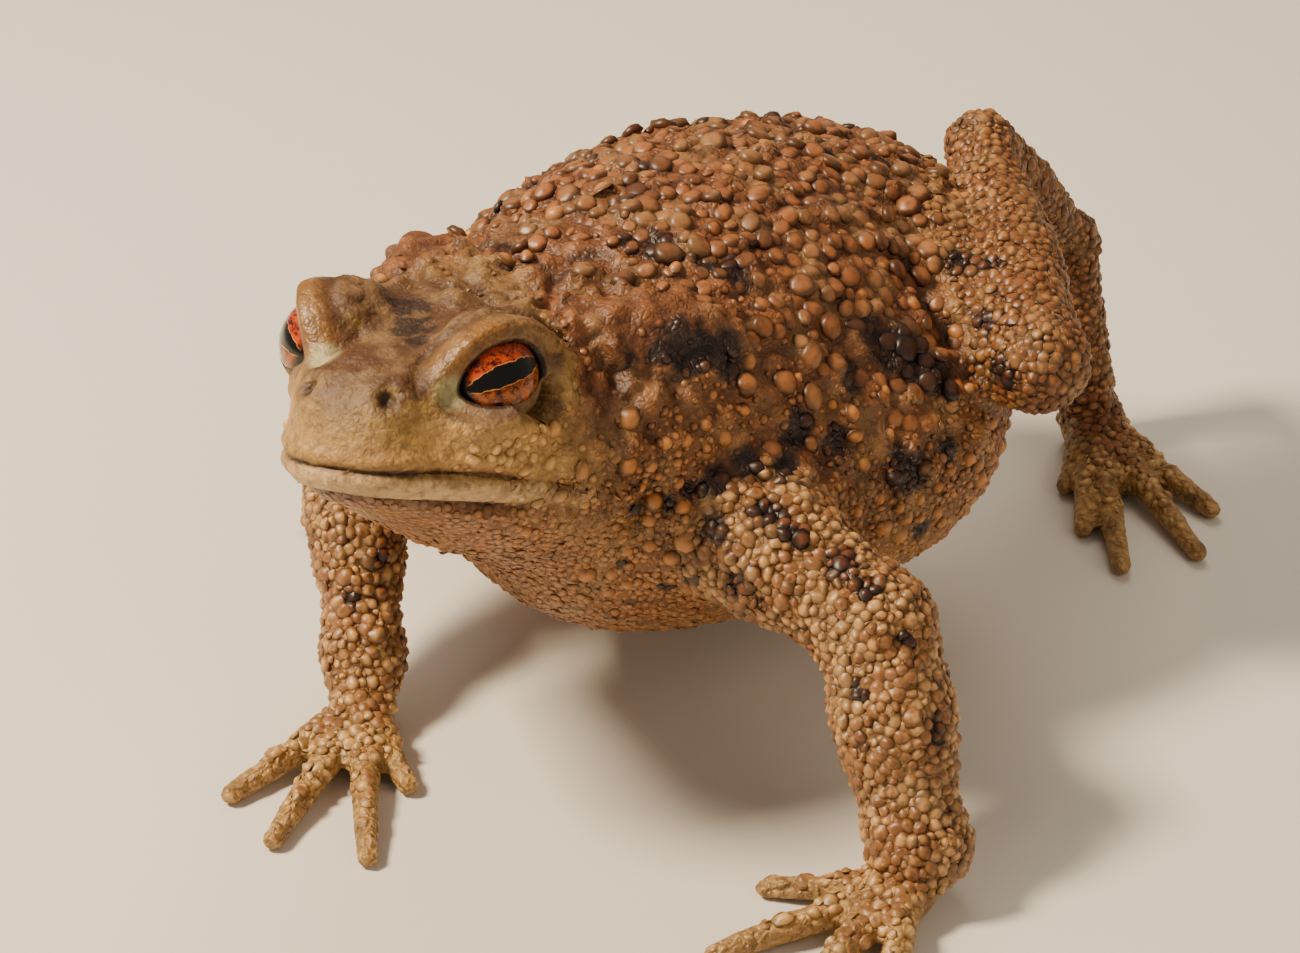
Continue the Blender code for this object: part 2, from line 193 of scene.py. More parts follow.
def smooth_least(a, b, width):
    """The lesser of two distances, rounded where they are near each other."""
    near = np.maximum(width - np.abs(a - b), 0.0) / width
    return np.minimum(a, b) - near * near * width * 0.25


def blended(forms, points):
    """The distance to several forms that run into each other."""
    total = np.full(len(points), FAR)
    for form in forms:
        gap = np.linalg.norm(points - form.middle, axis=1) - form.size
        near = gap < max(form.blend + REACH_PAST_BLEND, form.blend * REACH_FACTOR)
        total[near] = smooth_least(total[near], form.distance(points[near]), form.blend)
    return total


# %% [markdown]
# ## The masses of the toad
# A common toad is a broad sack on four bowed legs. The head is a blunt wedge
# with a domed brow over each eye, the chest hangs between the arms, and the
# belly is widest just ahead of the thighs. The sizes below are the ones that
# the solids were made from, apart from slightly slimmer digits and a fuller
# cheek under the left eye.

# %% Head and body
GLAND_RADII = (4.0, 4.6, 10.0)


def both_sides(point):
    """The point on the left and its twin on the right."""
    x, y, z = point
    return (x, y, z), (-x, y, z)


def head_forms():
    """The head's own forms, given in its frame and turned into place."""
    # Skull, muzzle, nape and jaw, both jaw corners, both brows and the left cheek.
    masses = [
        ((0, 18.5, 4.8), (12.0, 17.5, 8.8), 4.0),
        ((0, 8.2, 3.0), (7.2, 8.4, 6.2), 3.0),
        ((0, 29, 8.3), (13.5, 14, 9.5), 5.0),
        ((0, 19.5, -0.8), (12.0, 18, 4.5), 3.0),
        ((12.6, 27, 2.4), (5.4, 8, 6.8), 4.0),
        ((-12.6, 27, 2.4), (5.4, 8, 6.8), 4.0),
        ((8.9, 14.2, 10.0), (6.0, 7.2, 6.2), 2.0),
        ((-8.2, 14.2, 11.2), (6.0, 7.2, 6.2), 2.0),
        ((9.7, 12.7, 4.9), (4.7, 6.2, 4.6), 2.5),
    ]
    forms = [Ball(from_head(c), r, k, HEAD_TURN) for c, r, k in masses]
    ridges = [
        ((2.8, 4.1, 0.8), (13.4, 25, 1.2), 3.3, 4.6, 3.0),
        ((3.6, 4.6, 6.2), (6.6, 10.4, 9.6), 1.9, 2.2, 2.5),
    ]
    for start, end, first, last, blend in ridges:
        for a, b in zip(both_sides(start), both_sides(end)):
            forms.append(Limb(from_head(a), from_head(b), first, last, blend))
    return forms


def gland(middle, toward_rear):
    """The long low swelling behind an eye."""
    axis = Vector(np.array(toward_rear) - np.array(middle))
    frame = np.array(axis.to_track_quat('Z', 'Y').to_matrix())
    return Ball(middle, GLAND_RADII, 3.5, frame)


def body_forms():
    """Chest, belly, back, rump, throat, shoulders and the glands behind the head."""
    return [
        Ball((3, -5, 31.5), (21.5, 21, 21), 8.0),
        Ball((2.5, 15, 28.5), (31.5, 26, 21), 12.0),
        Ball((0, 9, 41), (21, 28, 15), 8.0),
        Ball((1, 33, 36), (17, 14, 13), 9.0),
        Ball((1, -24, 39.5), (15, 14, 12.5), 8.0),
        Ball((11, -12, 41), (10, 12, 9), 5.0),
        Ball((-11, -13, 40), (10, 12, 9), 5.0),
        gland((13.2, -12.8, 48.8), (17.5, -5.5, 47.0)),
        gland((-15.0, -15.8, 47.0), (-19.5, -9.5, 44.5)),
    ]


# %% [markdown]
# ## Legs, hands and feet
# Each leg is a chain of joints with the flesh's radius at each. A length is a
# tapered limb with one swell of muscle, and the digits run from the palm or
# sole to their tips on the floor, with webs between the toes.

# %% Legs
ARM_LEFT = [((16, -10, 32), 8.0), ((40.5, -9.5, 24.5), 6.3), ((51.5, -16, 6), 5.3)]
ARM_RIGHT = [((-13, -10, 35), 8.0), ((-26.5, -15, 28.5), 5.7), ((-14.5, -27, 6.5), 4.4)]
LEG_LEFT = [((5, 37, 40), 8.5), ((36, 24, 39), 5.6), ((9.6, 49.9, 46), 3.9),
            ((10.0, 68.5, 27), 3.1)]
LEG_RIGHT = [((-5, 37, 38), 8.5), ((-38, 20, 23), 5.6), ((-15, 46, 14), 3.9),
             ((-27, 31, 5.5), 3.2)]
PALM_LEFT = (52.0, -19.0, 2.6)
PALM_RIGHT = (-11.5, -30.5, 2.6)
FINGERS_LEFT = [(40, -26), (43, -38), (54, -42), (62, -34)]
FINGERS_RIGHT = [(0, -36), (5.5, -48), (-4, -52), (-13, -49)]
SOLE_LEFT = (13.5, 70.0, 3.0)
SOLE_RIGHT = (-32.0, 22.0, 2.6)
TOES_LEFT = [(18, 58.5), (25, 52), (33, 48), (38, 56), (34, 65)]
TOES_RIGHT = [(-28, 11), (-34, 2), (-45, -4), (-54, 5), (-49, 14)]
PALM_RADIUS = 3.3
DIGIT_START = 2.6
DIGIT_ROOT = 1.75
DIGIT_TIP = 1.15
TIP_HEIGHT = 1.0
WEB_START = 2.4
WEB_THICKNESS = 0.9
WEB_HEIGHT = 1.4
MUSCLE_SWELL = 1.04


def length_forms(joints, i):
    """One length of a limb: a tapered round with a swell of muscle nearer its start."""
    (start, first), (end, last) = joints[i], joints[i + 1]
    start, end = np.array(start, float), np.array(end, float)
    reach = np.linalg.norm(end - start)
    axis = Vector(end - start).normalized()
    frame = np.array(axis.to_track_quat('Z', 'Y').to_matrix())
    middle = start * 0.6 + end * 0.4
    girth = (first * 0.6 + last * 0.4) * MUSCLE_SWELL
    return [
        Limb(start, end, first * 0.88, last * 0.92, 2.0),
        Ball(middle, (girth, girth, reach * 0.42), 2.0, frame),
    ]


def digit_forms(wrist, palm, tips, web=False):
    """Digits that run from the palm or sole to their tips on the floor."""
    palm = np.array(palm, float)
    forms = [Limb(wrist[0], palm, wrist[1] * 0.95, PALM_RADIUS, 2.0)]
    ends = [np.array([x, y, TIP_HEIGHT]) for x, y in tips]
    for end in ends:
        knuckle = palm * 0.62 + end * 0.38
        knuckle[2] = palm[2] * 0.75 + 0.3
        forms.append(Limb(palm, knuckle, DIGIT_START, DIGIT_ROOT, 1.2))
        forms.append(Limb(knuckle, end, DIGIT_ROOT, DIGIT_TIP, 0.6))
    if web:
        for first, second in zip(ends[:-1], ends[1:]):
            edge = palm * 0.55 + (first + second) * 0.225
            edge[2] = WEB_HEIGHT
            forms.append(Limb(palm, edge, WEB_START, WEB_THICKNESS, 2.2))
    return forms


def leg_forms(joints, palm, tips, web=False):
    """All the forms of one leg, from its root to its digits."""
    forms = []
    for i in range(len(joints) - 1):
        forms += length_forms(joints, i)
    return forms + digit_forms(joints[-1], palm, tips, web)


HEAD = head_forms()
BODY = body_forms()
LEGS = [
    leg_forms(ARM_LEFT, PALM_LEFT, FINGERS_LEFT),
    leg_forms(ARM_RIGHT, PALM_RIGHT, FINGERS_RIGHT),
    leg_forms(LEG_LEFT, SOLE_LEFT, TOES_LEFT, web=True),
    leg_forms(LEG_RIGHT, SOLE_RIGHT, TOES_RIGHT, web=True),
]
print("masses", len(HEAD), "head", len(BODY), "body", sum(len(leg) for leg in LEGS), "legs")

# %% [markdown]
# ## Small tools
# Colours are written as the hex codes that a picture editor shows. One function
# adds a node with its settings and inputs, which keeps node trees short to read.
# An input is a plain value, a hex code or the output of another node.

# %% Colours and shader nodes
def colour(text):
    """An sRGB hex colour as linear red, green, blue and alpha."""
    parts = [int(text[i:i + 2], 16) / 255.0 for i in (1, 3, 5)]
    linear = [v / 12.92 if v <= 0.04045 else ((v + 0.055) / 1.055) ** 2.4 for v in parts]
    return (*linear, 1.0)


def feed(tree, node, inputs):
    """Set a node's inputs to plain values, hex colours or (node, socket) pairs."""
    for key, value in dict(inputs).items():
        if isinstance(value, tuple) and isinstance(value[0], bpy.types.Node):
            tree.links.new(value[0].outputs[value[1]], node.inputs[key])
        elif isinstance(value, str) and value.startswith('#'):
            node.inputs[key].default_value = colour(value)
        else:
            node.inputs[key].default_value = value


def add(tree, kind, settings=(), inputs=()):
    """A new node with its settings and inputs."""
    node = tree.nodes.new(kind)
    for key, value in dict(settings).items():
        setattr(node, key, value)
    feed(tree, node, inputs)
    return node


def new_material(name):
    """A material with a bare Principled shader, its tree and that shader."""
    made = bpy.data.materials.new(name)
    made.use_nodes = True
    return made, made.node_tree, made.node_tree.nodes['Principled BSDF']


def place(thing):
    """Put a piece made in the toad's frame, in millimetres, where the solids are."""
    thing.data.transform(Matrix.Scale(MM, 4) @ Matrix.Translation(Vector(-ORIGIN)))
    thing.data.update()


# %% [markdown]
# ## One smooth surface
# The skin runs from head to toe with no seam. Its distance is the least of all
# the masses' distances, rounded where they meet, with the eye sockets, nostrils,
# mouth line and floor taken away. A voxel remesh fuses the raw masses to one
# closed mesh, and a few steps along the slope of the distance pull it to the
# surface. Voxels alone would leave steps, and masses alone would leave creases.

# %% Eyes, lips and nostrils as distances
NECK_BLEND = 7.0
ROOT_BLEND = 4.0
FACE_MIDDLE = (0, 16, 4)
FACE_REACH = 34.0
# The lids' opening: half its length and height, its tilt in degrees, the depth
# where it has that size, how it flares toward the front and how it is rounded.
LID_LONG = 4.9
LID_TALL = 2.7
LID_TILT = 24.0
LID_EDGE = 3.6
LID_FLARE = 0.2
LID_POINT = 1.7
LID_ROUND = 0.7
# The flesh round the opening: how thick it is at the rim, how softly it closes
# round the ball, how fast it rises away from the rim, and the opening's floor.
LID_THICK = 0.45
LID_BLEND = 2.5
LID_RISE = 0.85
LID_FLOOR = 2.0
# Past the rim the lids may stand off the ball: where that starts, and how much.
RIM_OPENS = (0.8, 4.8)
RIM_GROWTH = 5.0
RIM_ENDS = (2.5, 7.0)
RIM_FREE = 50.0
# Ridges round an eye: distance from the opening and width, the distances from
# the ball between which they fade, as negative numbers, and their height.
HOOD = (1.5, 1.3)
HOOD_FADE = (-4.5, -2.0)
HOOD_HEIGHT = 0.5
HOOD_FOLD = (3.7, 0.5)
HOOD_FOLD_FADE = (-5.5, -3.5)
HOOD_FOLD_DEPTH = 0.5
UNDER_LID = (2.4, 1.5)
UNDER_LID_FADE = (-6.5, -2.5)
UNDER_LID_HEIGHT = 0.3
SOCKET_GAP = 0.06
SOCKET_FLOOR = 1.0
NOSTRIL = (4.4, 1.9, 7.2)
NOSTRIL_RADIUS = 0.85
NOSTRIL_RIM = (1.9, 0.8)
NOSTRIL_RIM_HEIGHT = 0.4
# The mouth's line bows in a shallow wave. The groove and the lips along it each
# have a height over that line and a width, and a depth of their own.
MOUTH_BACK = 25.5
MOUTH_WAVE = 0.45
MOUTH_PITCH = 0.23
GROOVE = (0.0, 0.25)
GROOVE_DEPTH = 0.35
LIP_ABOVE = (1.1, 0.8)
LIP_ABOVE_HEIGHT = 0.35
LIP_BELOW = (-1.2, 0.7)
LIP_BELOW_HEIGHT = 0.45


def hump(value, middle, width):
    """A smooth bump of height one round a middle value."""
    return np.exp(-((value - middle) / width) ** 2)


def ramp(value, start, end):
    """Zero before start, one past end and smooth between them."""
    part = np.clip((value - start) / (end - start), 0.0, 1.0)
    return part * part * (3.0 - 2.0 * part)


def eye_frame(side):
    """An eyeball's middle, and the long, upright and looking axes of its lids."""
    flip = np.array([side, 1.0, 1.0])
    look = EYE_LOOK * flip / np.linalg.norm(EYE_LOOK)
    along = np.cross([0.0, 0.0, 1.0], look) * side
    along /= np.linalg.norm(along)
    upright = np.cross(look, along) * side
    tilt = math.radians(LID_TILT)
    long_axis = along * math.cos(tilt) + upright * math.sin(tilt)
    tall_axis = upright * math.cos(tilt) - along * math.sin(tilt)
    axes = [HEAD_TURN @ axis for axis in (long_axis, tall_axis, look)]
    return from_head(EYE_CENTRE * flip + EYE_SHIFT[side]), axes


def lid_gap(points, side):
    """How far points are outside the opening of the lids, and from the eyeball."""
    centre, (along, upright, look) = eye_frame(side)
    away = points - centre
    depth = away @ look
    across, up = away @ along / LID_LONG, away @ upright / LID_TALL
    ring = (across ** 2 + np.abs(up) ** LID_POINT) ** (1.0 / LID_POINT) - 1.0
    opening = ring * LID_TALL - LID_FLARE * (depth - LID_EDGE)
    opening = np.maximum(opening, LID_FLOOR - depth)
    ball = np.linalg.norm(away, axis=1) - EYE_RADIUS - SOCKET_GAP
    return opening, np.maximum(ball, SOCKET_FLOOR - depth)


def above_eye_at(points, side, start, end):
    """Zero below an eye and one above it, along the upright axis of its lids."""
    centre, axes = eye_frame(side)
    return ramp((points - centre) @ axes[1], start, end)


def eye_distance(points):
    """How far points are from the middle of the nearer eyeball."""
    return np.min([np.linalg.norm(points - eye_frame(s)[0], axis=1) for s in SIDES], axis=0)


def nostril_distance(local, side):
    """How far points of the head's frame are from the middle of a nostril."""
    return np.linalg.norm(local - np.array(NOSTRIL) * (side, 1, 1), axis=1)


def above_mouth(local):
    """How far points of the head's frame are above the mouth's line."""
    return local[:, 2] - MOUTH_WAVE * np.sin(local[:, 1] * MOUTH_PITCH)


def face_details(total, points):
    """Sockets, lid rims, lips, mouth line and nostrils worked into the distance."""
    near = np.linalg.norm(points - from_head(FACE_MIDDLE), axis=1) < FACE_REACH
    some, value = points[near], total[near]
    local = in_head(some)
    front = 1.0 - ramp(local[:, 1], MOUTH_BACK - 3.0, MOUTH_BACK + 1.5)
    line = above_mouth(local)
    shut = front * (np.abs(value) < 4.0)
    value = value + shut * (
        GROOVE_DEPTH * hump(line, *GROOVE) - LIP_ABOVE_HEIGHT * hump(line, *LIP_ABOVE))
    value = value - shut * LIP_BELOW_HEIGHT * hump(line, *LIP_BELOW)
    for side in SIDES:
        opening, ball = lid_gap(some, side)
        over = above_eye_at(some, side, -2.5, 2.5)
        hood = hump(opening, *HOOD) * ramp(-ball, *HOOD_FADE) * HOOD_HEIGHT
        fold = hump(opening, *HOOD_FOLD) * ramp(-ball, *HOOD_FOLD_FADE) * HOOD_FOLD_DEPTH
        fold *= ramp(-np.abs(value), -3.5, -2.5)
        under = hump(opening, *UNDER_LID) * ramp(-ball, *UNDER_LID_FADE)
        under = under * (1.0 - over) * UNDER_LID_HEIGHT
        value = value - over * (hood - fold) - under
        value = smooth_least(value, ball - LID_THICK, LID_BLEND)
        rim = LID_THICK + LID_RISE * np.maximum(opening, 0.0) + RIM_GROWTH * ramp(opening, *RIM_OPENS)
        rim += RIM_FREE * ramp(ball, *RIM_ENDS)
        value = -smooth_least(-value, rim - ball, 0.6)
        value = -smooth_least(-value, opening, LID_ROUND)
        value = -smooth_least(-value, ball, 0.1)
        pit = nostril_distance(local, side)
        value = value - NOSTRIL_RIM_HEIGHT * hump(pit, *NOSTRIL_RIM)
        value = -smooth_least(-value, pit - NOSTRIL_RADIUS, 0.4)
    total[near] = value
    return total


def flesh(points):
    """The distance from each point to the toad's smooth skin."""
    total = smooth_least(blended(BODY, points), blended(HEAD, points), NECK_BLEND)
    for leg in LEGS:
        total = smooth_least(total, blended(leg, points), ROOT_BLEND)
    return np.maximum(face_details(total, points), -points[:, 2])


# %% Tools for meshes
PROBE = 0.05
STEP_MOST = 1.6
STEP_SHARE = 0.85
TETRA = np.array([[1, 1, 1], [1, -1, -1], [-1, 1, -1], [-1, -1, 1]]) / math.sqrt(3.0)


def slope(points):
    """The direction in which the distance grows fastest."""
    rise = sum(flesh(points + d * PROBE)[:, None] * d for d in TETRA)
    return rise / (np.linalg.norm(rise, axis=1, keepdims=True) + 1e-9)


def new_object(name, mesh):
    """An object for a bmesh, which is freed."""
    data = bpy.data.meshes.new(name)
    mesh.to_mesh(data)
    mesh.free()
    made = bpy.data.objects.new(name, data)
    bpy.context.scene.collection.objects.link(made)
    return made


def apply_modifiers(thing):
    """Replace an object's mesh by the one that its modifiers give."""
    depsgraph = bpy.context.evaluated_depsgraph_get()
    depsgraph.update()
    done = bpy.data.meshes.new_from_object(thing.evaluated_get(depsgraph), depsgraph=depsgraph)
    thing.modifiers.clear()
    thing.data = done


def fuse(thing, voxel, smoothings):
    """Fuse whatever an object holds to one even closed skin."""
    remesh = thing.modifiers.new('fuse', 'REMESH')
    remesh.mode = 'VOXEL'
    remesh.voxel_size = voxel
    relax = thing.modifiers.new('relax', 'SMOOTH')
    relax.iterations = smoothings
    apply_modifiers(thing)


def points_of(thing):
    """An object's vertices as rows of numbers."""
    points = np.empty(len(thing.data.vertices) * 3)
    thing.data.vertices.foreach_get('co', points)
    return points.reshape(-1, 3)


def set_points(thing, points):
    """Move an object's vertices."""
    thing.data.vertices.foreach_set('co', points.ravel())
    thing.data.update()


def normals_of(thing):
    """An object's vertex normals as rows of numbers."""
    normals = np.empty(len(thing.data.vertices) * 3)
    thing.data.vertex_normals.foreach_get('vector', normals)
    return normals.reshape(-1, 3)


def pull(thing, steps):
    """Slide an object's vertices onto the surface of the flesh."""
    points = points_of(thing)
    for _ in range(steps):
        points -= slope(points) * np.clip(flesh(points), -STEP_MOST, STEP_MOST)[:, None] * STEP_SHARE
    set_points(thing, points)


# %% [markdown]
# ## Fuse, cut and refine
# The skin is fused once from the raw masses. The eye sockets are then cut out
# with plain solids, because a surface can't be pulled through its own thickness,
# and it is fused again. Then the faces of the head are split in four: lids and
# lips need a finer mesh than the belly does. The pull draws some faces out round
# the eyes, so last those are evened and pulled once more.

# %% The skin's mesh
VOXEL = 0.67
PULL_STEPS = 4
# The part of the head with finer faces, in its own frame.
FINE_BACK = 31.0
FINE_LOW = -5.0
FINE_HALF = 19.0
CUTTER_PAST_LID = 4.0
EVEN_REACH = 10.0
EVEN_TIMES = 6

raw = bmesh.new()
for form in HEAD + BODY + [f for leg in LEGS for f in leg]:
    form.add_to(raw)
skin = new_object('toad_skin', raw)
fuse(skin, VOXEL, 2)


def socket_cutter(side):
    """A plain solid that opens the lids down to the floor of the eye socket."""
    centre, axes = eye_frame(side)
    frame = Matrix(np.array(axes).T).to_4x4()
    frame.translation = Vector(centre)
    cutter = bmesh.new()
    tip = LID_EDGE + CUTTER_PAST_LID
    near_scale = 1.0 - LID_FLARE * (LID_EDGE - LID_FLOOR) / LID_TALL
    far_scale = 1.0 + LID_FLARE * (tip - LID_EDGE) / LID_TALL
    middle = Matrix.Translation(Vector((0, 0, (tip + LID_FLOOR) / 2.0)))
    stretch = Matrix.Diagonal(Vector((LID_LONG, LID_TALL, 1.0, 1.0)))
    bmesh.ops.create_cone(
        cutter, cap_ends=True, segments=48, radius1=near_scale, radius2=far_scale,
        depth=tip - LID_FLOOR, matrix=frame @ middle @ stretch)
    bmesh.ops.recalc_face_normals(cutter, faces=cutter.faces)
    return new_object('socket_cutter', cutter)


def split_faces(thing, chosen):
    """Split each face between chosen vertices in four."""
    mesh = bmesh.new()
    mesh.from_mesh(thing.data)
    mesh.verts.ensure_lookup_table()
    edges = [e for e in mesh.edges if chosen[e.verts[0].index] and chosen[e.verts[1].index]]
    bmesh.ops.subdivide_edges(mesh, edges=edges, cuts=1, use_grid_fill=True)
    bmesh.ops.triangulate(mesh, faces=[f for f in mesh.faces if len(f.verts) > 4])
    mesh.to_mesh(thing.data)
    mesh.free()


def even_faces(thing, chosen):
    """Even out the faces round chosen vertices."""
    mesh = bmesh.new()
    mesh.from_mesh(thing.data)
    verts = [v for v in mesh.verts if chosen[v.index]]
    for _ in range(EVEN_TIMES):
        bmesh.ops.smooth_vert(
            mesh, verts=verts, factor=0.5, use_axis_x=True, use_axis_y=True, use_axis_z=True)
    mesh.to_mesh(thing.data)
    mesh.free()


for side in SIDES:
    cutter = socket_cutter(side)
    cut = skin.modifiers.new('cut', 'BOOLEAN')
    cut.operation = 'DIFFERENCE'
    cut.solver = 'MANIFOLD'
    cut.object = cutter
    apply_modifiers(skin)
    bpy.data.objects.remove(cutter)
fuse(skin, VOXEL, 1)
pull(skin, PULL_STEPS)
local = in_head(points_of(skin))
in_front = (local[:, 1] < FINE_BACK) & (local[:, 2] > FINE_LOW)
split_faces(skin, in_front & (np.abs(local[:, 0]) < FINE_HALF))
pull(skin, PULL_STEPS)
even_faces(skin, eye_distance(points_of(skin)) < EVEN_REACH)
pull(skin, PULL_STEPS)
triangles = sum(len(face.vertices) - 2 for face in skin.data.polygons)
print("skin", len(skin.data.vertices), "vertices", triangles, "triangles")

# %% [markdown]
# ## Which part is where
# Markings and warts differ from one part to the next: the back is rusty and
# lumpy, the belly pale and finely grained, the glands smooth. So every vertex
# learns how near it is to each part. The names below are soft masks from 0 to 1.

# %% Soft masks
points = points_of(skin)
normals = normals_of(skin)
local = in_head(points)
to_head, to_body = blended(HEAD, points), blended(BODY, points)
to_legs = [blended(leg, points) for leg in LEGS]
to_arms = np.minimum(to_legs[0], to_legs[1])
to_hind = np.minimum(to_legs[2], to_legs[3])
to_rest = np.minimum(to_head, to_body)
arm = ramp(to_rest - to_arms, -1.0, 2.0)
hind = ramp(to_rest - to_hind, -1.0, 2.0)
limb = np.clip(arm + hind, 0.0, 1.0)
head = ramp(to_body - to_head, -1.5, 2.0) * (1.0 - arm)
body = np.clip(1.0 - limb - head, 0.0, 1.0)
upward = normals[:, 2]


def nearness(points, spots, inner, outer):
    """One at each spot's middle, falling to zero between two shares of its radius."""
    total = np.zeros(len(points))
    for x, y, z, radius in spots:
        away = np.linalg.norm(points - (x, y, z), axis=1)
        total = np.maximum(total, 1.0 - ramp(away, radius * inner, radius * outer))
    return total


def along_line(points, line, width):
    """One on a line through a few points, falling to zero over a few widths."""
    best = np.full(len(points), FAR)
    for start, end in zip(line[:-1], line[1:]):
        best = np.minimum(best, Limb(start, end, 0.0, 0.0, 0.0).distance(points))
    return hump(best, 0.0, width)


openings = [lid_gap(points, side)[0] for side in SIDES]
eye_away = eye_distance(points)
by_eye = 1.0 - ramp(eye_away, 7.0, 8.5)
to_opening = np.where(eye_away < 9.0, np.minimum(*openings), FAR)
lid = by_eye * (1.0 - ramp(to_opening, 2.6, 4.2))
by_side = [above_eye_at(points, side, -1.0, 2.0) for side in SIDES]
above_eye = np.where(points[:, 0] > SNOUT[0], *by_side)
under_eye = by_eye * (1.0 - above_eye) * (1.0 - ramp(to_opening, 0.8, 1.9))
to_glands = np.minimum(*[form.distance(points) for form in BODY[-2:]])
gland_skin = 1.0 - ramp(to_glands, 0.0, 1.2)
gland_skin *= 1.0 - lid
digit = ramp(-points[:, 2], -5.5, -3.0) * limb
outside = ramp(np.hypot(local[:, 0], local[:, 1] - 20.0), 8.0, 11.0)
outside *= ramp(-local[:, 1], -26.0, -20.0)
nostril_away = np.min([nostril_distance(local, side) for side in SIDES], axis=0)
nostril = 1.0 - ramp(nostril_away, 0.7, 1.1)
nose = 1.0 - ramp(nostril_away, 2.0, 3.0)
lower_lip = head * outside * ramp(local[:, 2], -3.0, -2.4) * ramp(-local[:, 2], 0.1, 0.6)
upper_lip = head * outside * hump(local[:, 2], 1.6, 1.3)
under = ramp(-upward, 0.1, 0.6)
chin = head * ramp(-local[:, 2], 2.5, 3.5)
throat = np.clip(under * ramp(-points[:, 1], 2.0, 18.0) + chin, 0.0, 1.0)
throat *= 1.0 - limb
belly = under * body * (1.0 - throat)
back = ramp(upward, 0.1, 0.75) * body
cheek = head * ramp(local[:, 1], 2.0, 6.0) * ramp(-np.abs(local[:, 2] - 2.6), -3.4, -2.0)
cheek = np.maximum(cheek, 0.6 * upper_lip)
snout = head * (1.0 - ramp(local[:, 1], 8.0, 16.0))
snout *= 1.0 - 0.8 * cheek * ramp(local[:, 1], 5.0, 9.0)
crown = head * ramp(upward, 0.45, 0.8)
soft = lid + 0.75 * snout + lower_lip + 0.6 * upper_lip + 0.5 * crown + nose + 0.5 * throat
soft = np.clip(soft, 0.0, 1.0)
print("masks for", len(points), "vertices")

# %% [markdown]
# ## Lumps, folds and big warts
# The largest warts and the folds of loose skin are part of the surface itself,
# so they are pressed out of the mesh. Each wart is a low dome on a seeded spot,
# kept apart from its neighbours, in a few sizes. The nape has broad pads and the
# back small knobs, both from rounded cells. Folds follow short lines on the neck,
# arm, brow and groin, and finer ones come from noise whose creases are sharpened.
# Lines are exact where a fold is plain to see, and noise is enough where there
# are dozens.

# %% Where the folds run
# Each fold: its depth and half width in mm, and its points. Each has a mirrored twin.
FOLDS = {
    'neck': (0.7, 0.7, [(13.4, -20.1, 50.8), (16.2, -20.2, 48.1), (19.3, -19.8, 44.4),
                        (20.6, -19.2, 40.4), (20.0, -20.4, 36.3), (18.9, -20.6, 32.4)]),
    'cheek': (0.4, 0.5, [(18.2, -22.5, 45.4), (18.8, -23.0, 42.5), (18.6, -24.3, 39.8)]),
    'arm': (0.7, 0.8, [(20.4, -19.2, 35.9), (22.0, -16.4, 36.6), (24.8, -11.9, 37.7),
                       (27.0, -10.6, 36.8)]),
    'armpit': (0.8, 0.8, [(24.0, -17.3, 31.7), (27.4, -17.5, 29.0), (31.2, -16.5, 26.5)]),
    'brow': (0.35, 0.45, [(5.6, -34.2, 55.9), (5.3, -31.7, 56.6), (5.8, -27.9, 56.6),
                          (7.1, -24.9, 55.5), (9.9, -24.4, 54.7)]),
    'groin': (0.8, 1.0, [(20.4, 21.3, 46.7), (25.1, 19.5, 43.1), (29.3, 19.3, 39.9),
                         (32.9, 19.0, 37.1)]),
    'nape': (0.5, 0.7, [(-10.7, -23.2, 53.3), (-2.8, -24.3, 54.5), (1.8, -22.0, 54.6),
                        (8.1, -20.0, 54.7)]),
    'shoulder': (0.4, 0.7, [(-12.7, -10.4, 50.7), (-1.1, -15.7, 54.2), (4.8, -13.2, 53.7),
                            (9.8, -9.7, 53.2)]),
}
# The fold under the lower lip: its depth, height in the head's frame and half width.
LIP_FOLD = (0.95, -3.3, 0.5)

# %% Relief
SEED = 11
# Each size of wart: its radius and height in mm, and how many there may be.
WARTS = {'large': (2.4, 1.0, 46), 'middle': (1.8, 0.8, 150), 'small': (1.35, 0.6, 330)}
WART_APART = 0.98
WART_SKIRT = 1.3
# Heights and depths in mm.
LUMP_HEIGHT = 0.35
CREASE_DEPTH = 0.2
PAD_HEIGHT = 1.2
GRAIN_HEIGHT = 0.08
WRINKLE_DEPTH = 0.35
# Sizes in mm and seeds of the noise and cells.
LUMPS = (4.6, 1)
CREASES = (3.0, 2)
GRAIN = (1.3, 3)
PADS = (4.6, 4)
KNOBS = (2.7, 5)
WRINKLES = (1.5, 12)
SWAY_SIZE = 3.5
SWAY = 0.7
random.seed(SEED)


def noise_at(points, size, seed, octaves=3):
    """Smooth noise from -1 to 1 with features of about a given size in mm."""
    shift = Vector((seed * 7.3, seed * 3.1, seed * 5.7))
    fractal = mathutils.noise.fractal
    return np.array([fractal(Vector(p) / size + shift, 0.8, 2.1, octaves) for p in points])


def cells_at(points, size, seed, edge):
    """Rounded cells of a given size: 0 on the creases between them, 1 inside."""
    shift = Vector((seed * 4.1, seed * 2.3, seed * 6.9))
    voronoi = mathutils.noise.voronoi
    near = np.array([voronoi(Vector(p) / size + shift)[0][:2] for p in points])
    return ramp(near[:, 1] - near[:, 0], 0.0, edge) * (1.0 - 0.6 * near[:, 0])


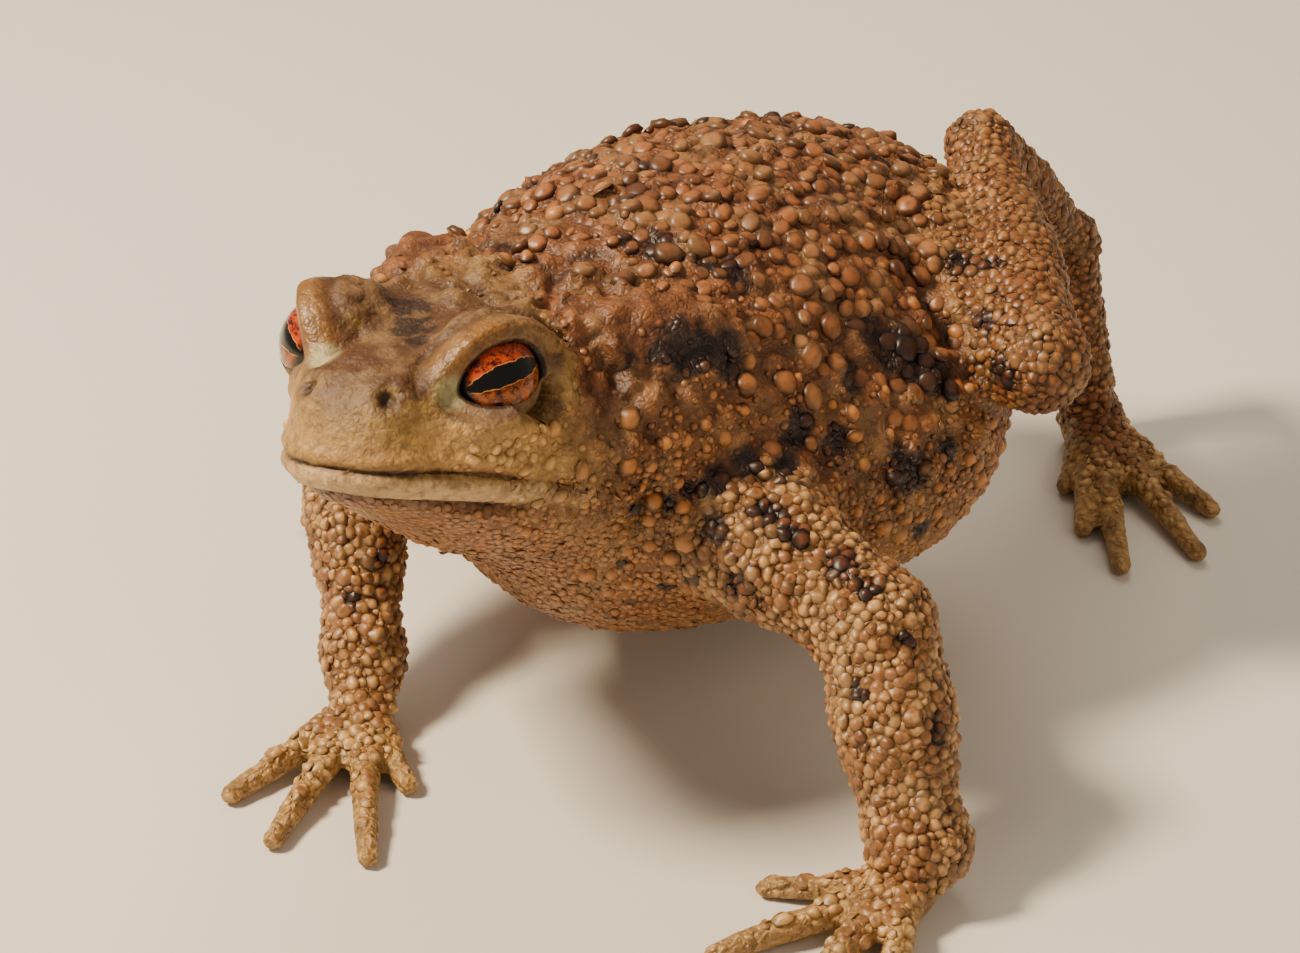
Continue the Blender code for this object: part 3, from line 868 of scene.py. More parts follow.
def scatter(weight, sizes, apart):
    """Seeded spots on the skin, more where the weight is high, that keep apart."""
    order = list(np.flatnonzero(weight > 0.02))
    random.shuffle(order)
    spots, room = np.empty((0, 3)), np.empty(0)
    made = []
    for radius, height, count in sizes:
        placed = 0
        for index in order:
            if placed == count:
                break
            if random.random() > weight[index]:
                continue
            size = radius * random.uniform(0.85, 1.15)
            away = np.linalg.norm(spots - points[index], axis=1)
            if np.any(away < (room + size) * apart):
                continue
            spots, room = np.vstack([spots, points[index]]), np.append(room, size)
            made.append((points[index], size, height))
            placed += 1
    return made


def sharpened(noise):
    """Narrow ridges, from 0 to 1, where smooth noise crosses zero."""
    return np.clip(1.0 - np.abs(noise) * 3.0, 0.0, 1.0)


rough_skin = 1.0 - np.clip(lid + gland_skin * 0.75 + lower_lip + upper_lip * 0.4, 0.0, 1.0)
wart_weight = body * ramp(upward, -0.1, 0.5) * rough_skin
wart_weight *= 1.0 - 0.5 * ramp(-points[:, 1], 8.0, 16.0)
warts = scatter(wart_weight, WARTS.values(), WART_APART)
relief = np.zeros(len(points))
wart = np.zeros(len(points))
for spot, radius, height in warts:
    away = np.linalg.norm(points - spot, axis=1)
    near = away < radius * WART_SKIRT
    dome_shape = np.cos(away[near] / (radius * WART_SKIRT) * math.pi) * 0.5 + 0.5
    relief[near] = np.maximum(relief[near], height * dome_shape ** 0.75)
    wart[near] = np.maximum(wart[near], ramp(dome_shape, 0.1, 0.8))
lumps = noise_at(points, *LUMPS)
creases = sharpened(noise_at(points * (1.0, 1.7, 1.0), *CREASES))
grain = noise_at(points, *GRAIN)
loose = (body * 0.8 + head * 0.5 + limb * 0.4) * rough_skin
sway = np.stack([noise_at(points, SWAY_SIZE, seed) for seed in (7, 8, 9)], axis=1)
bent = points + sway * SWAY
pads = cells_at(bent, *PADS, 0.55)
knobs = cells_at(bent, *KNOBS, 0.9)
nape = ramp(upward, 0.1, 0.6) * hump(points[:, 1], -19.0, 10.0) * (1.0 - 0.4 * head)
loose *= 1.0 - 0.6 * np.maximum(snout, back)
relief += lumps * LUMP_HEIGHT * loose - creases * CREASE_DEPTH * loose * (1.0 - 0.8 * wart)
relief += (pads - 0.5) * PAD_HEIGHT * nape * rough_skin
relief += (knobs - 0.4) * (0.8 * back + 0.4 * body + 0.3 * crown + 0.3 * limb) * rough_skin
soft = np.clip(soft + 0.6 * np.maximum(nape, 0.6 * back), 0.0, 1.0)
relief += grain * GRAIN_HEIGHT * (1.0 - 0.9 * soft)
neck_side = (head + 0.5 * body) * ramp(local[:, 1], 15.0, 21.0)
neck_side *= ramp(-local[:, 1], -38.0, -32.0)
neck_side *= ramp(-local[:, 2], -1.5, 1.5) * ramp(-upward, -0.15, 0.15)
wrinkles = sharpened(noise_at(local * (1.0, 1.7, 0.4), *WRINKLES, 2))
relief -= wrinkles * WRINKLE_DEPTH * neck_side
wart = np.maximum(wart, ramp(knobs, 0.2, 0.7) * (back + 0.5 * nape) * 0.8)
wart = np.clip(wart, 0.0, 1.0)
# The fold mask: where the folds and the lids' hood crease run; the hide paints shade into them.
fold = np.zeros(len(points))
for depth, width, line in FOLDS.values():
    line = np.array(line, float)
    for side in SIDES:
        crease = along_line(points, line * (side, 1, 1), width)
        relief -= crease * depth
        fold = np.maximum(fold, crease)
hood_line = hump(to_opening, HOOD_FOLD[0], 0.45)
fold = np.maximum(fold, 0.8 * by_eye * above_eye * hood_line)
depth, height, width = LIP_FOLD
crease = head * outside * hump(local[:, 2], height, width)
relief -= crease * depth
fold = np.maximum(fold, crease)
relief *= ramp(points[:, 2], 0.4, 2.0) * ramp(to_opening, 0.4, 1.4) * (1.0 - 0.9 * nose)
set_points(skin, points + normals * relief[:, None])
print("big warts", len(warts))

# %% [markdown]
# ## Markings
# Common toads are mottled. The dark marks of the left side and the brow are put
# where they are plain to see, each as a spot with a ragged edge, and seeded
# noise makes those of the right side in the same manner. All the masks then go
# onto the vertices as named attributes, so that beads scattered over the skin
# pick them up and carry the same markings.

# %% Dark marks and attributes
# Dark marks, as x, y, z and radius in mm.
DARK_MARKS = [
    (17.6, -12.6, 49.2, 3.8), (20.4, -8.6, 47.6, 3.0), (14.5, -17.3, 49.4, 1.6),
    (15.0, -0.8, 52.5, 2.1), (12.5, -2.6, 53.5, 1.5), (7.8, -4.2, 54.8, 2.1),
    (4.8, -6.1, 55.0, 1.3), (27.0, 12.7, 41.9, 3.6), (24.5, 9.8, 44.6, 2.3),
    (29.9, 15.0, 38.9, 2.7), (26.0, 4.6, 42.0, 2.1), (25.8, -3.4, 39.0, 2.2),
    (26.9, -7.3, 37.0, 2.0), (25.0, -10.5, 38.1, 1.8), (28.0, 0.4, 36.9, 1.9),
    (32.0, 6.5, 31.9, 2.7), (23.5, -14.3, 37.2, 1.8), (22.0, -16.5, 36.4, 1.1),
    (19.4, -21.7, 35.5, 1.3), (20.9, -18.2, 35.0, 1.0), (25.1, -16.7, 33.0, 2.0),
    (29.4, -12.8, 35.2, 2.2), (32.6, -12.8, 33.5, 1.7), (37.5, -10.9, 31.6, 2.2),
    (40.7, -11.8, 30.4, 1.6), (28.6, -17.3, 28.2, 1.7), (19.3, -17.1, 24.0, 1.0),
    (22.4, -16.9, 25.8, 1.0), (16.6, -21.0, 27.3, 0.7), (-0.6, -32.6, 54.2, 2.3),
    (-3.6, -29.6, 54.0, 2.1), (2.2, -34.4, 54.2, 1.3), (23.9, 26.3, 45.7, 2.2),
    (26.5, 28.1, 45.8, 1.6), (30.5, 21.8, 42.8, 1.6), (35.0, 18.5, 39.3, 2.3),
    (8.6, 32.3, 50.6, 1.6), (5.4, 25.8, 53.2, 1.6), (32.5, 9.8, 23.4, 1.6),
    (33.4, 12.5, 32.3, 1.4), (43.7, -17.0, 21.8, 1.6), (46.1, -12.1, 26.2, 1.3),
    (51.4, -13.0, 18.2, 1.6), (-15.5, -27.7, 13.5, 1.4), (-15.4, -23.0, 16.4, 1.6),
]
PALE_MARKS = [(9.2, -37.6, 52.2, 1.5), (-4.3, -41.0, 52.6, 1.6)]


def store(thing, values):
    """Keep rows of numbers as named attributes of a mesh's vertices."""
    for name, rows in values.items():
        made = thing.data.attributes.new(name, 'FLOAT', 'POINT')
        made.data.foreach_set('value', np.asarray(rows, np.float32))


blotch = noise_at(points, 6.0, 5)
speckle = noise_at(points, 1.5, 6)
free = (0.9 * body + 0.7 * hind + 0.5 * arm) * (1.0 - under)
free *= ramp(points[:, 2], 14.0, 26.0)
away_side = ramp(-points[:, 0], -8.0, 2.0)
dark = ramp(blotch + speckle * 0.55, 0.3, 0.5) * free * (0.35 + 0.65 * away_side)
dark *= 1.0 - gland_skin
marks = ramp(nearness(points, DARK_MARKS, 0.3, 1.6) + speckle * 0.5, 0.33, 0.72)
marks *= 1.0 - 0.15 * head
small_spots = ramp(speckle, 0.5, 0.68) * limb * (1.0 - 0.6 * digit) * 0.8
dark = np.maximum(np.maximum(dark, marks), small_spots) * (1.0 - lid * 0.7)
# The nostrils' pits are painted dark: painted shade inside the holes.
dark = np.maximum(dark, nostril)
# The distance from the mouth's line, along which the hide paints shade.
mouth_shade_line = np.abs(above_mouth(local)) + 5.0 * (1.0 - head * outside)
pale = nearness(points, PALE_MARKS, 0.5, 1.5)
lips = head * outside * hump(local[:, 2], 0.0, 1.2)
cover = rough_skin * (1.0 - lips) * ramp(points[:, 2], 2.2, 4.0)
cover = cover * ramp(to_opening, 2.5, 3.5) * (1.0 - nose)
left = ramp(points[:, 0], -0.2, 0.2)
top = np.maximum(crown, ramp(upward, 0.15, 0.55) * (1.0 - cheek))
beaded_face = np.maximum(1.0 - 0.95 * snout, cheek * ramp(local[:, 1], 5.5, 9.0))


def on_body(side):
    """Where the small granules of one side of the body lie."""
    return cover * body * side * (1.0 - under * 0.5) * (1.0 - 0.95 * np.maximum(back, nape))


store(skin, {
    'dark': dark, 'pale': pale, 'back': back, 'limb': limb, 'head': head, 'crown': crown,
    'throat': throat, 'belly': belly, 'digit': digit, 'lip': lower_lip, 'lid': lid * above_eye,
    'gland': gland_skin, 'fold': fold, 'wart': wart, 'soft': soft, 'cheek': cheek,
    'under_eye': 0.75 * under_eye, 'hind': hind * (1.0 - digit),
    'lid_line': np.minimum(to_opening, 5.0), 'mouth_shade_line': mouth_shade_line,
    'on_flank': cover * body * ramp(upward, -0.55, -0.1) * (1.0 - 0.85 * wart)
    * (1.0 - np.maximum(0.9 * back, nape)),
    'on_body_left': on_body(left), 'on_body_right': on_body(1.0 - left),
    'on_back': cover * ramp(upward, 0.35, 0.8) * body * (1.0 - 0.9 * nape)
    * ramp(points[:, 1], -17.0, -6.0),
    'on_head': cover * head * (1.0 - throat) * (1.0 - top) * beaded_face,
    'on_arms': cover * arm, 'on_hind': cover * hind, 'on_throat': cover * throat,
})
print("dark share", float((dark > 0.5).mean()))

# %% [markdown]
# ## The hide
# One group of nodes gives the colour of any spot of skin from its masks and its
# height, and both the skin and the beads use it, so a bead never stands out as
# another piece. Low skin, between beads and in the creases of the cobbles, takes
# a darker tint than the tops: partly the toad's own colour and partly painted
# shade in the hollows. The group also paints shade into the folds and along the
# mouth's line, and a dark line round the lids that is partly their own margin and
# partly painted shade. Fine grain comes from patterns in real millimetres: two
# sizes of packed cells where the skin is rough, and a cloudy crumple where it is
# soft.

# %% Markings and painted shade
# Each part's colour between the beads and on top of them; the darker low colour
# is partly the toad's own and partly painted shade in the hollows.
TINTS = {
    'flank': ('#66401f', '#ae7139'),
    'back': ('#4d2c16', '#8f572d'),
    'head': ('#8d6c36', '#c49c53'),
    'crown': ('#472c16', '#704a24'),
    'cheek': ('#aa8043', '#e6bb74'),
    'throat': ('#774a22', '#a66d36'),
    'belly': ('#9a6a3a', '#c08f55'),
    'limb': ('#6c451e', '#c2955c'),
    'hind': ('#57361b', '#a06c36'),
    'digit': ('#96703c', '#cba468'),
    'lid': ('#775023', '#93682f'),
    'under_eye': ('#6b503c', '#86674c'),
    'gland': ('#5a351a', '#84502a'),
    'lip': ('#bb9868', '#dabf92'),
    'pale': ('#aba171', '#aba171'),
}
# The dark marks' colour between the beads and on top; the darker low one is also partly painted
# shade.
DARK = ('#180d08', '#381e12')
# Painted shade in the skin's folds, also the tint of the darker mottles.
MOTTLE_AND_FOLD_SHADE = '#3f2512'
GREY_TAN = '#8f7048'
RUST = '#6e3c1c'
WARM_TIP = '#bf7c3a'
# Each kind of patch: its size in mm, where its noise starts and ends, its share and tint.
PATCHES = [
    (5.0, 0.45, 0.65, 0.45, GREY_TAN),
    (2.6, 0.5, 0.7, 0.45, MOTTLE_AND_FOLD_SHADE),
    (0.9, 0.5, 0.68, 0.4, MOTTLE_AND_FOLD_SHADE),
]
# Each dark line round the lids or along the mouth: where it starts and is full, in mm.
# The mouth's line is painted shade in its groove. The lids' line is partly their
# dark margin and partly painted shade where they meet the ball.
LINES = {'lid_line': (0.42, 0.22), 'mouth_shade_line': (0.26, 0.08)}


def mixed(tree, share, first, second):
    """Two colours mixed by the share of the second."""
    inputs = {0: share, 6: first, 7: second}
    return (add(tree, 'ShaderNodeMix', {'data_type': 'RGBA'}, inputs), 2)


def attribute(tree, name):
    """A named attribute of the mesh as a number."""
    return (add(tree, 'ShaderNodeAttribute', {'attribute_name': name}), 'Fac')


def number(tree, operation, a, b=0.0, clamp=False):
    """Two numbers combined by an operation."""
    settings = {'operation': operation, 'use_clamp': clamp}
    return (add(tree, 'ShaderNodeMath', settings, {0: a, 1: b}), 0)


def times(tree, a, b):
    """The product of two numbers."""
    return number(tree, 'MULTIPLY', a, b)


def plus(tree, a, b, clamp=False):
    """The sum of two numbers."""
    return number(tree, 'ADD', a, b, clamp)


def vector(tree, operation, inputs):
    """A vector worked out by an operation."""
    return (add(tree, 'ShaderNodeVectorMath', {'operation': operation}, inputs), 'Vector')


def step(tree, value, start, end):
    """Zero before start, one past end and smooth between them, for a socket."""
    settings = {'clamp': True, 'interpolation_type': 'SMOOTHSTEP'}
    inputs = {'Value': value, 'From Min': start, 'From Max': end}
    return (add(tree, 'ShaderNodeMapRange', settings, inputs), 0)


def noise_texture(tree, room, inputs):
    """A noise texture in a room that is given as a (node, socket) pair."""
    return (add(tree, 'ShaderNodeTexNoise', {}, {'Vector': room, **inputs}), 0)


def cloud(tree, size_mm, start, end, detail=3.0):
    """Cloudy noise with features of a given size, spread from 0 to 1."""
    room = (add(tree, 'ShaderNodeTexCoord'), 'Object')
    noise = noise_texture(tree, room, {'Scale': 1.0 / (size_mm * MM), 'Detail': detail})
    return step(tree, noise, start, end)


markings_and_shade = bpy.data.node_groups.new('toad_markings_and_shade', 'ShaderNodeTree')
face = markings_and_shade.interface
face.new_socket('Height', in_out='INPUT', socket_type='NodeSocketFloat')
face.new_socket('Color', in_out='OUTPUT', socket_type='NodeSocketColor')
height = (add(markings_and_shade, 'NodeGroupInput'), 'Height')
shade = mixed(markings_and_shade, height, *TINTS['flank'])
for part in list(TINTS)[1:]:
    here = mixed(markings_and_shade, height, *TINTS[part])
    shade = mixed(markings_and_shade, attribute(markings_and_shade, part), shade, here)
for size, start, end, share, tint in PATCHES:
    patch = times(markings_and_shade, cloud(markings_and_shade, size, start, end), share)
    shade = mixed(markings_and_shade, patch, shade, tint)
# Painted shade in the creases of the folds.
folds = times(markings_and_shade, attribute(markings_and_shade, 'fold'), 0.75)
shade = mixed(markings_and_shade, folds, shade, MOTTLE_AND_FOLD_SHADE)
shade = mixed(markings_and_shade, attribute(markings_and_shade, 'dark'), shade, mixed(markings_and_shade, height, *DARK))
for line, (start, end) in LINES.items():
    share = step(markings_and_shade, attribute(markings_and_shade, line), start, end)
    shade = mixed(markings_and_shade, times(markings_and_shade, share, 0.85), shade, DARK[0])
add(markings_and_shade, 'NodeGroupOutput', {}, {'Color': shade})


def bent_room(tree, size_mm):
    """Object coordinates swayed a little, so that cells in them are not too regular."""
    room = (add(tree, 'ShaderNodeTexCoord'), 'Object')
    sway = noise_texture(tree, room, {'Scale': 0.4 / (size_mm * MM)})[0]
    push = vector(tree, 'SCALE', {'Vector': (sway, 'Color'), 'Scale': size_mm * MM})
    return vector(tree, 'ADD', {0: room, 1: push})


def cobbles(tree, size_mm):
    """Packed cobbles of a given size: 0 in the creases between them, 1 on top."""
    inputs = {'Scale': 1.0 / (size_mm * MM), 'Vector': bent_room(tree, size_mm)}
    cells = add(tree, 'ShaderNodeTexVoronoi', {'feature': 'DISTANCE_TO_EDGE'}, inputs)
    return step(tree, (cells, 'Distance'), 0.0, 0.32)


# %% Skin and bead materials
def moist(tree, shader, depth_mm):
    """Living skin: light goes a little way in."""
    feed(tree, shader, {'Subsurface Weight': 0.12, 'Subsurface Radius': (1.0, 0.45, 0.2),
                        'Subsurface Scale': depth_mm * MM})


# Sizes in mm, and how far light goes in, in mm.
FINE_COBBLE = 0.75
COARSE_COBBLE = 1.5
CRUMPLE = 1.3
COBBLE_DEPTH = 0.3
HIDE_GLOW = 0.8
BEAD_GLOW = 0.5
hide, tree, shader = new_material('toad_hide')
fine = times(tree, cobbles(tree, FINE_COBBLE), 0.4)
on_limb = plus(tree, 0.3, attribute(tree, 'limb'))
coarse = times(tree, cobbles(tree, COARSE_COBBLE), on_limb)
cobbled = plus(tree, fine, times(tree, coarse, 0.7))
rough = number(tree, 'SUBTRACT', 1.0, times(tree, attribute(tree, 'soft'), 0.7))
crumple = times(tree, cloud(tree, CRUMPLE, 0.3, 0.7, 5.0), attribute(tree, 'soft'))
height = plus(tree, times(tree, cobbled, rough), times(tree, crumple, 0.55))
bump = add(tree, 'ShaderNodeBump', {}, {
    'Distance': COBBLE_DEPTH * MM, 'Strength': 0.9, 'Height': height})
# Warts and cobble tops take the lighter tint and the creases between them the darker: partly painted
# shade.
high = plus(tree, times(tree, attribute(tree, 'wart'), 0.5), times(tree, cobbled, 0.6), True)
group = add(tree, 'ShaderNodeGroup', {'node_tree': markings_and_shade}, {'Height': high})
dull = plus(tree, 0.44, times(tree, attribute(tree, 'soft'), 0.14))
dull = number(tree, 'SUBTRACT', dull, times(tree, attribute(tree, 'lid'), 0.2))
moist(tree, shader, HIDE_GLOW)
feed(tree, shader, {
    'Base Color': (group, 'Color'), 'Normal': (bump, 'Normal'), 'Roughness': dull})

bead_skin, tree, shader = new_material('toad_beads')
# A bead's top takes the lighter tint and its foot the darker: partly painted shade, as on the skin.
top = step(tree, attribute(tree, 'tip'), 0.1, 0.9)
group = add(tree, 'ShaderNodeGroup', {'node_tree': markings_and_shade}, {'Height': top})
brown = plus(tree, attribute(tree, 'shade'), cloud(tree, 4.0, 0.35, 0.65))
brown = times(tree, times(tree, step(tree, brown, 0.9, 1.3), top), attribute(tree, 'limb'))
shade = mixed(tree, times(tree, brown, 0.8), (group, 'Color'), RUST)
not_dark = number(tree, 'SUBTRACT', 1.0, attribute(tree, 'dark'), True)
warm = times(tree, times(tree, top, attribute(tree, 'warmth')), not_dark)
moist(tree, shader, BEAD_GLOW)
feed(tree, shader, {'Base Color': mixed(tree, warm, shade, WARM_TIP), 'Roughness': 0.41})

skin.data.materials.clear()
skin.data.materials.append(hide)
skin.data.shade_smooth()

# %% [markdown]
# ## Beads
# Between the big warts a toad's skin is cobbled with small glossy beads. A bead
# is a low dome with a skirt that dips under the skin, and Geometry Nodes lays
# thousands of them: points spread over the skin with a least distance, turned
# to face outward, and scaled at random. A few dozen faces each are enough,
# since a bead is only a few pixels wide.

# %% The dome
# Each shape: how many sides, and the radius and height of its rings from the top.
DOMES = {
    'large_bead': (12, ((0.3, 0.95), (0.6, 0.77), (0.85, 0.46), (1.04, 0.14), (1.3, -0.14))),
    'pebble': (10, ((0.35, 0.92), (0.7, 0.62), (1.0, 0.1), (1.15, -1.8))),
    'round_bead': (8, ((0.4, 0.86), (0.75, 0.52), (1.05, 0.14), (1.35, -0.16))),
    'fine_bead': (7, ((0.5, 0.76), (0.95, 0.2), (1.35, -0.16))),
}


def dome(name, sides, rings):
    """A closed dome of radius one whose skirt dips below its floor."""
    mesh = bmesh.new()
    crown_point = mesh.verts.new((0.0, 0.0, 1.0))
    loops = []
    for radius, height in rings:
        turns = [2.0 * math.pi * i / sides for i in range(sides)]
        loops.append([mesh.verts.new((radius * math.cos(t), radius * math.sin(t), height))
                      for t in turns])
    for i in range(sides):
        j = (i + 1) % sides
        mesh.faces.new((crown_point, loops[0][i], loops[0][j]))
        for upper, lower in zip(loops[:-1], loops[1:]):
            mesh.faces.new((upper[i], lower[i], lower[j], upper[j]))
    mesh.faces.new(list(reversed(loops[-1])))
    bmesh.ops.recalc_face_normals(mesh, faces=mesh.faces)
    made = new_object(name, mesh)
    made.data.shade_smooth()
    store(made, {'tip': [max(0.0, v.co.z) for v in made.data.vertices]})
    return made


# The size of the dents in mm, the least and most width of a bead as a share of
# its length, and how far it may be turned, in radians.
DENT_SIZE = 0.9
LEAST_WIDTH = 0.75
MOST_WIDTH = 1.2
WHOLE_TURN = 6.28


def bead_tree(name, seed, mask, bead):
    """Nodes that lay beads over a surface where a mask says so."""
    tree = bpy.data.node_groups.new(name, 'GeometryNodeTree')
    face = tree.interface
    face.new_socket('Geometry', in_out='INPUT', socket_type='NodeSocketGeometry')
    for title in ('Gap', 'Density', 'Least', 'Most', 'Height', 'Warmth', 'Dent'):
        face.new_socket(title, in_out='INPUT', socket_type='NodeSocketFloat')
    face.new_socket('Geometry', in_out='OUTPUT', socket_type='NodeSocketGeometry')
    source = add(tree, 'NodeGroupInput')

    def random_number(offset, low, high):
        """A random number for each bead between two others."""
        inputs = {2: low, 3: high, 'Seed': seed + offset}
        return (add(tree, 'FunctionNodeRandomValue', {'data_type': 'FLOAT'}, inputs), 1)

    def keep(beads, title, value):
        """Keep a number with each bead under a name."""
        settings = {'data_type': 'FLOAT', 'domain': 'INSTANCE'}
        inputs = {'Geometry': beads, 'Name': title, 'Value': value}
        return (add(tree, 'GeometryNodeStoreNamedAttribute', settings, inputs), 'Geometry')

    share = add(tree, 'GeometryNodeInputNamedAttribute', {'data_type': 'FLOAT'}, {'Name': mask})
    spread = add(tree, 'GeometryNodeDistributePointsOnFaces', {'distribute_method': 'POISSON'}, {
        'Mesh': (source, 'Geometry'), 'Distance Min': (source, 'Gap'), 'Seed': seed,
        'Density Max': (source, 'Density'), 'Density Factor': (share, 'Attribute')})
    size = random_number(1, (source, 'Least'), (source, 'Most'))
    width = random_number(3, LEAST_WIDTH, MOST_WIDTH)
    shape = add(tree, 'ShaderNodeCombineXYZ', {}, {'X': 1.0, 'Y': width, 'Z': (source, 'Height')})
    scale = vector(tree, 'SCALE', {'Vector': (shape, 'Vector'), 'Scale': size})
    spin = add(tree, 'FunctionNodeAxisAngleToRotation', {}, {
        'Axis': (0.0, 0.0, 1.0), 'Angle': random_number(4, 0.0, WHOLE_TURN)})
    facing = add(tree, 'FunctionNodeRotateRotation', {'rotation_space': 'LOCAL'}, {
        'Rotation': (spread, 'Rotation'), 'Rotate By': (spin, 'Rotation')})
    pattern = add(tree, 'GeometryNodeObjectInfo', {}, {'Object': bead})
    laid = add(tree, 'GeometryNodeInstanceOnPoints', {}, {
        'Points': (spread, 'Points'), 'Instance': (pattern, 'Geometry'),
        'Rotation': (facing, 'Rotation'), 'Scale': scale})
    marked = keep((laid, 'Instances'), 'shade', random_number(2, 0.0, 1.0))
    marked = keep(marked, 'warmth', (source, 'Warmth'))
    real = add(tree, 'GeometryNodeRealizeInstances', {}, {'Geometry': marked})
    here = (add(tree, 'GeometryNodeInputPosition'), 'Position')
    noise = noise_texture(tree, here, {'Scale': 1.0 / DENT_SIZE, 'Detail': 1.0})[0]
    even = vector(tree, 'SUBTRACT', {0: (noise, 'Color'), 1: (0.5, 0.5, 0.5)})
    push = vector(tree, 'SCALE', {'Vector': even, 'Scale': (source, 'Dent')})
    dented = add(tree, 'GeometryNodeSetPosition', {}, {
        'Geometry': (real, 'Geometry'), 'Offset': push})
    finish = add(tree, 'GeometryNodeSetMaterial', {}, {
        'Geometry': (dented, 'Geometry'), 'Material': bead_skin})
    add(tree, 'NodeGroupOutput', {}, {'Geometry': (finish, 'Geometry')})
    return tree


def lay_beads(name, seed, mask, values, bead):
    """Lay one kind of bead over the skin and give it as a mesh of its own."""
    made = bpy.data.objects.new(name, skin.data.copy())
    bpy.context.scene.collection.objects.link(made)
    nodes = made.modifiers.new('beads', 'NODES')
    nodes.node_group = bead_tree(name, seed, mask, bead)
    for item in nodes.node_group.interface.items_tree:
        if item.in_out == 'INPUT' and item.name in values:
            nodes[item.identifier] = values[item.name]
    apply_modifiers(made)
    count = len(made.data.vertices) // len(bead.data.vertices)
    print(name, count, "beads", sum(len(f.vertices) - 2 for f in made.data.polygons), "triangles")
    return made


# %% Lay the beads
# Each kind: seed, mask, least gap, least and most radius, height share,
# warmth of the tip, depth of dents in mm and shape.
BEADS = {
    'warts_flank': (21, 'on_flank', 2.2, 0.48, 1.02, 0.72, 0.55, 0.3, 'large_bead'),
    'pebbles_back': (28, 'on_back', 1.8, 0.7, 1.35, 0.33, 0.0, 0.5, 'pebble'),
    'granules_left': (22, 'on_body_left', 0.9, 0.26, 0.5, 0.55, 0.1, 0.3, 'fine_bead'),
    'granules_right': (23, 'on_body_right', 0.9, 0.26, 0.5, 0.55, 0.1, 0.3, 'fine_bead'),
    'cobbles_arms': (24, 'on_arms', 1.0, 0.42, 0.84, 0.62, 0.0, 0.6, 'round_bead'),
    'cobbles_hind': (25, 'on_hind', 1.0, 0.36, 0.75, 0.55, 0.0, 0.6, 'round_bead'),
    'granules_head': (26, 'on_head', 0.95, 0.36, 0.72, 0.68, 0.15, 0.5, 'round_bead'),
    'granules_throat': (27, 'on_throat', 0.85, 0.36, 0.5, 0.22, 0.0, 0.1, 'fine_bead'),
}
CANDIDATES = 7.0
domes = {name: dome(name, *shape) for name, shape in DOMES.items()}
beads = []
for name, (seed, mask, gap, least, most, height, warmth, dent, shape) in BEADS.items():
    values = {'Gap': gap, 'Density': CANDIDATES / gap ** 2, 'Least': least, 'Most': most,
              'Height': height, 'Warmth': warmth, 'Dent': dent}
    beads.append(lay_beads(name, seed, mask, values, domes[shape]))
for shape in domes.values():
    bpy.data.objects.remove(shape)

# %% [markdown]
# ## Eyes
# A toad's eye is a wet ball with a copper iris and a level slit of a pupil. The
# iris is painted by the shader, from a direction kept on each vertex: how far
# along and up it is from the line of sight. The ball itself stays a plain glossy
# sphere, since the lids leave only the middle of it in sight.

# %% Eyeballs
PUPIL_LONG = 4.4
PUPIL_TALL = 1.05
IRIS_EDGE = 4.1
IRIS_RIM = 0.6
# Lower and upper iris, its streaks, the edge of the pupil, the pupil and the rim.
IRIS_TINTS = ('#a04e08', '#b23f08', '#2c0702', '#bf7c38', '#040303', '#080605')
EYE_GLOSS = {'Roughness': 0.32, 'Specular IOR Level': 0.15, 'Coat Weight': 1.0,
             'Coat Roughness': 0.02, 'Coat IOR': 1.38}


def make_eye(side, name):
    """One eyeball that carries its own along, up and look directions in mm."""
    centre, axes = eye_frame(side)
    mesh = bmesh.new()
    bmesh.ops.create_icosphere(mesh, subdivisions=5, radius=EYE_RADIUS)
    made = new_object(name, mesh)
    rows = points_of(made)
    gaze = made.data.attributes.new('gaze', 'FLOAT_VECTOR', 'POINT')
    gaze.data.foreach_set('vector', rows.astype(np.float32).ravel())
    set_points(made, rows @ np.array(axes) + centre)
    if side < 0:
        made.data.flip_normals()
    return made


def eye_material():
    """Streaked copper iris, black level pupil with a thin pale edge, dark rim, wet gloss."""
    made, tree, shader = new_material('toad_eye')
    gaze = (add(tree, 'ShaderNodeAttribute', {'attribute_name': 'gaze'}), 'Vector')
    split = add(tree, 'ShaderNodeSeparateXYZ', {}, {'Vector': gaze})
    wobble = noise_texture(tree, gaze, {'Scale': 1.5, 'Detail': 3.0})
    streaks = noise_texture(tree, gaze, {'Scale': 0.8, 'Detail': 7.0, 'Roughness': 0.8})
    ring = times(tree, wobble, 0.7)
    for axis, reach, power in (('X', PUPIL_LONG, 2.2), ('Y', PUPIL_TALL, 1.4)):
        part = number(tree, 'ABSOLUTE', number(tree, 'DIVIDE', (split, axis), reach))
        ring = plus(tree, ring, number(tree, 'POWER', part, power))
    flat = add(tree, 'ShaderNodeCombineXYZ', {}, {'X': (split, 'X'), 'Y': (split, 'Y')})
    length = (vector(tree, 'LENGTH', {'Vector': (flat, 'Vector')})[0], 'Value')
    iris = mixed(tree, step(tree, (split, 'Y'), -1.0, 1.0), *IRIS_TINTS[:2])
    shares = (
        step(tree, streaks, 0.42, 0.58), step(tree, ring, 1.47, 1.38),
        step(tree, ring, 1.36, 1.28), step(tree, length, IRIS_EDGE - IRIS_RIM, IRIS_EDGE))
    for share, tint in zip(shares, IRIS_TINTS[2:]):
        iris = mixed(tree, share, iris, tint)
    feed(tree, shader, {'Base Color': iris, **EYE_GLOSS})
    return made


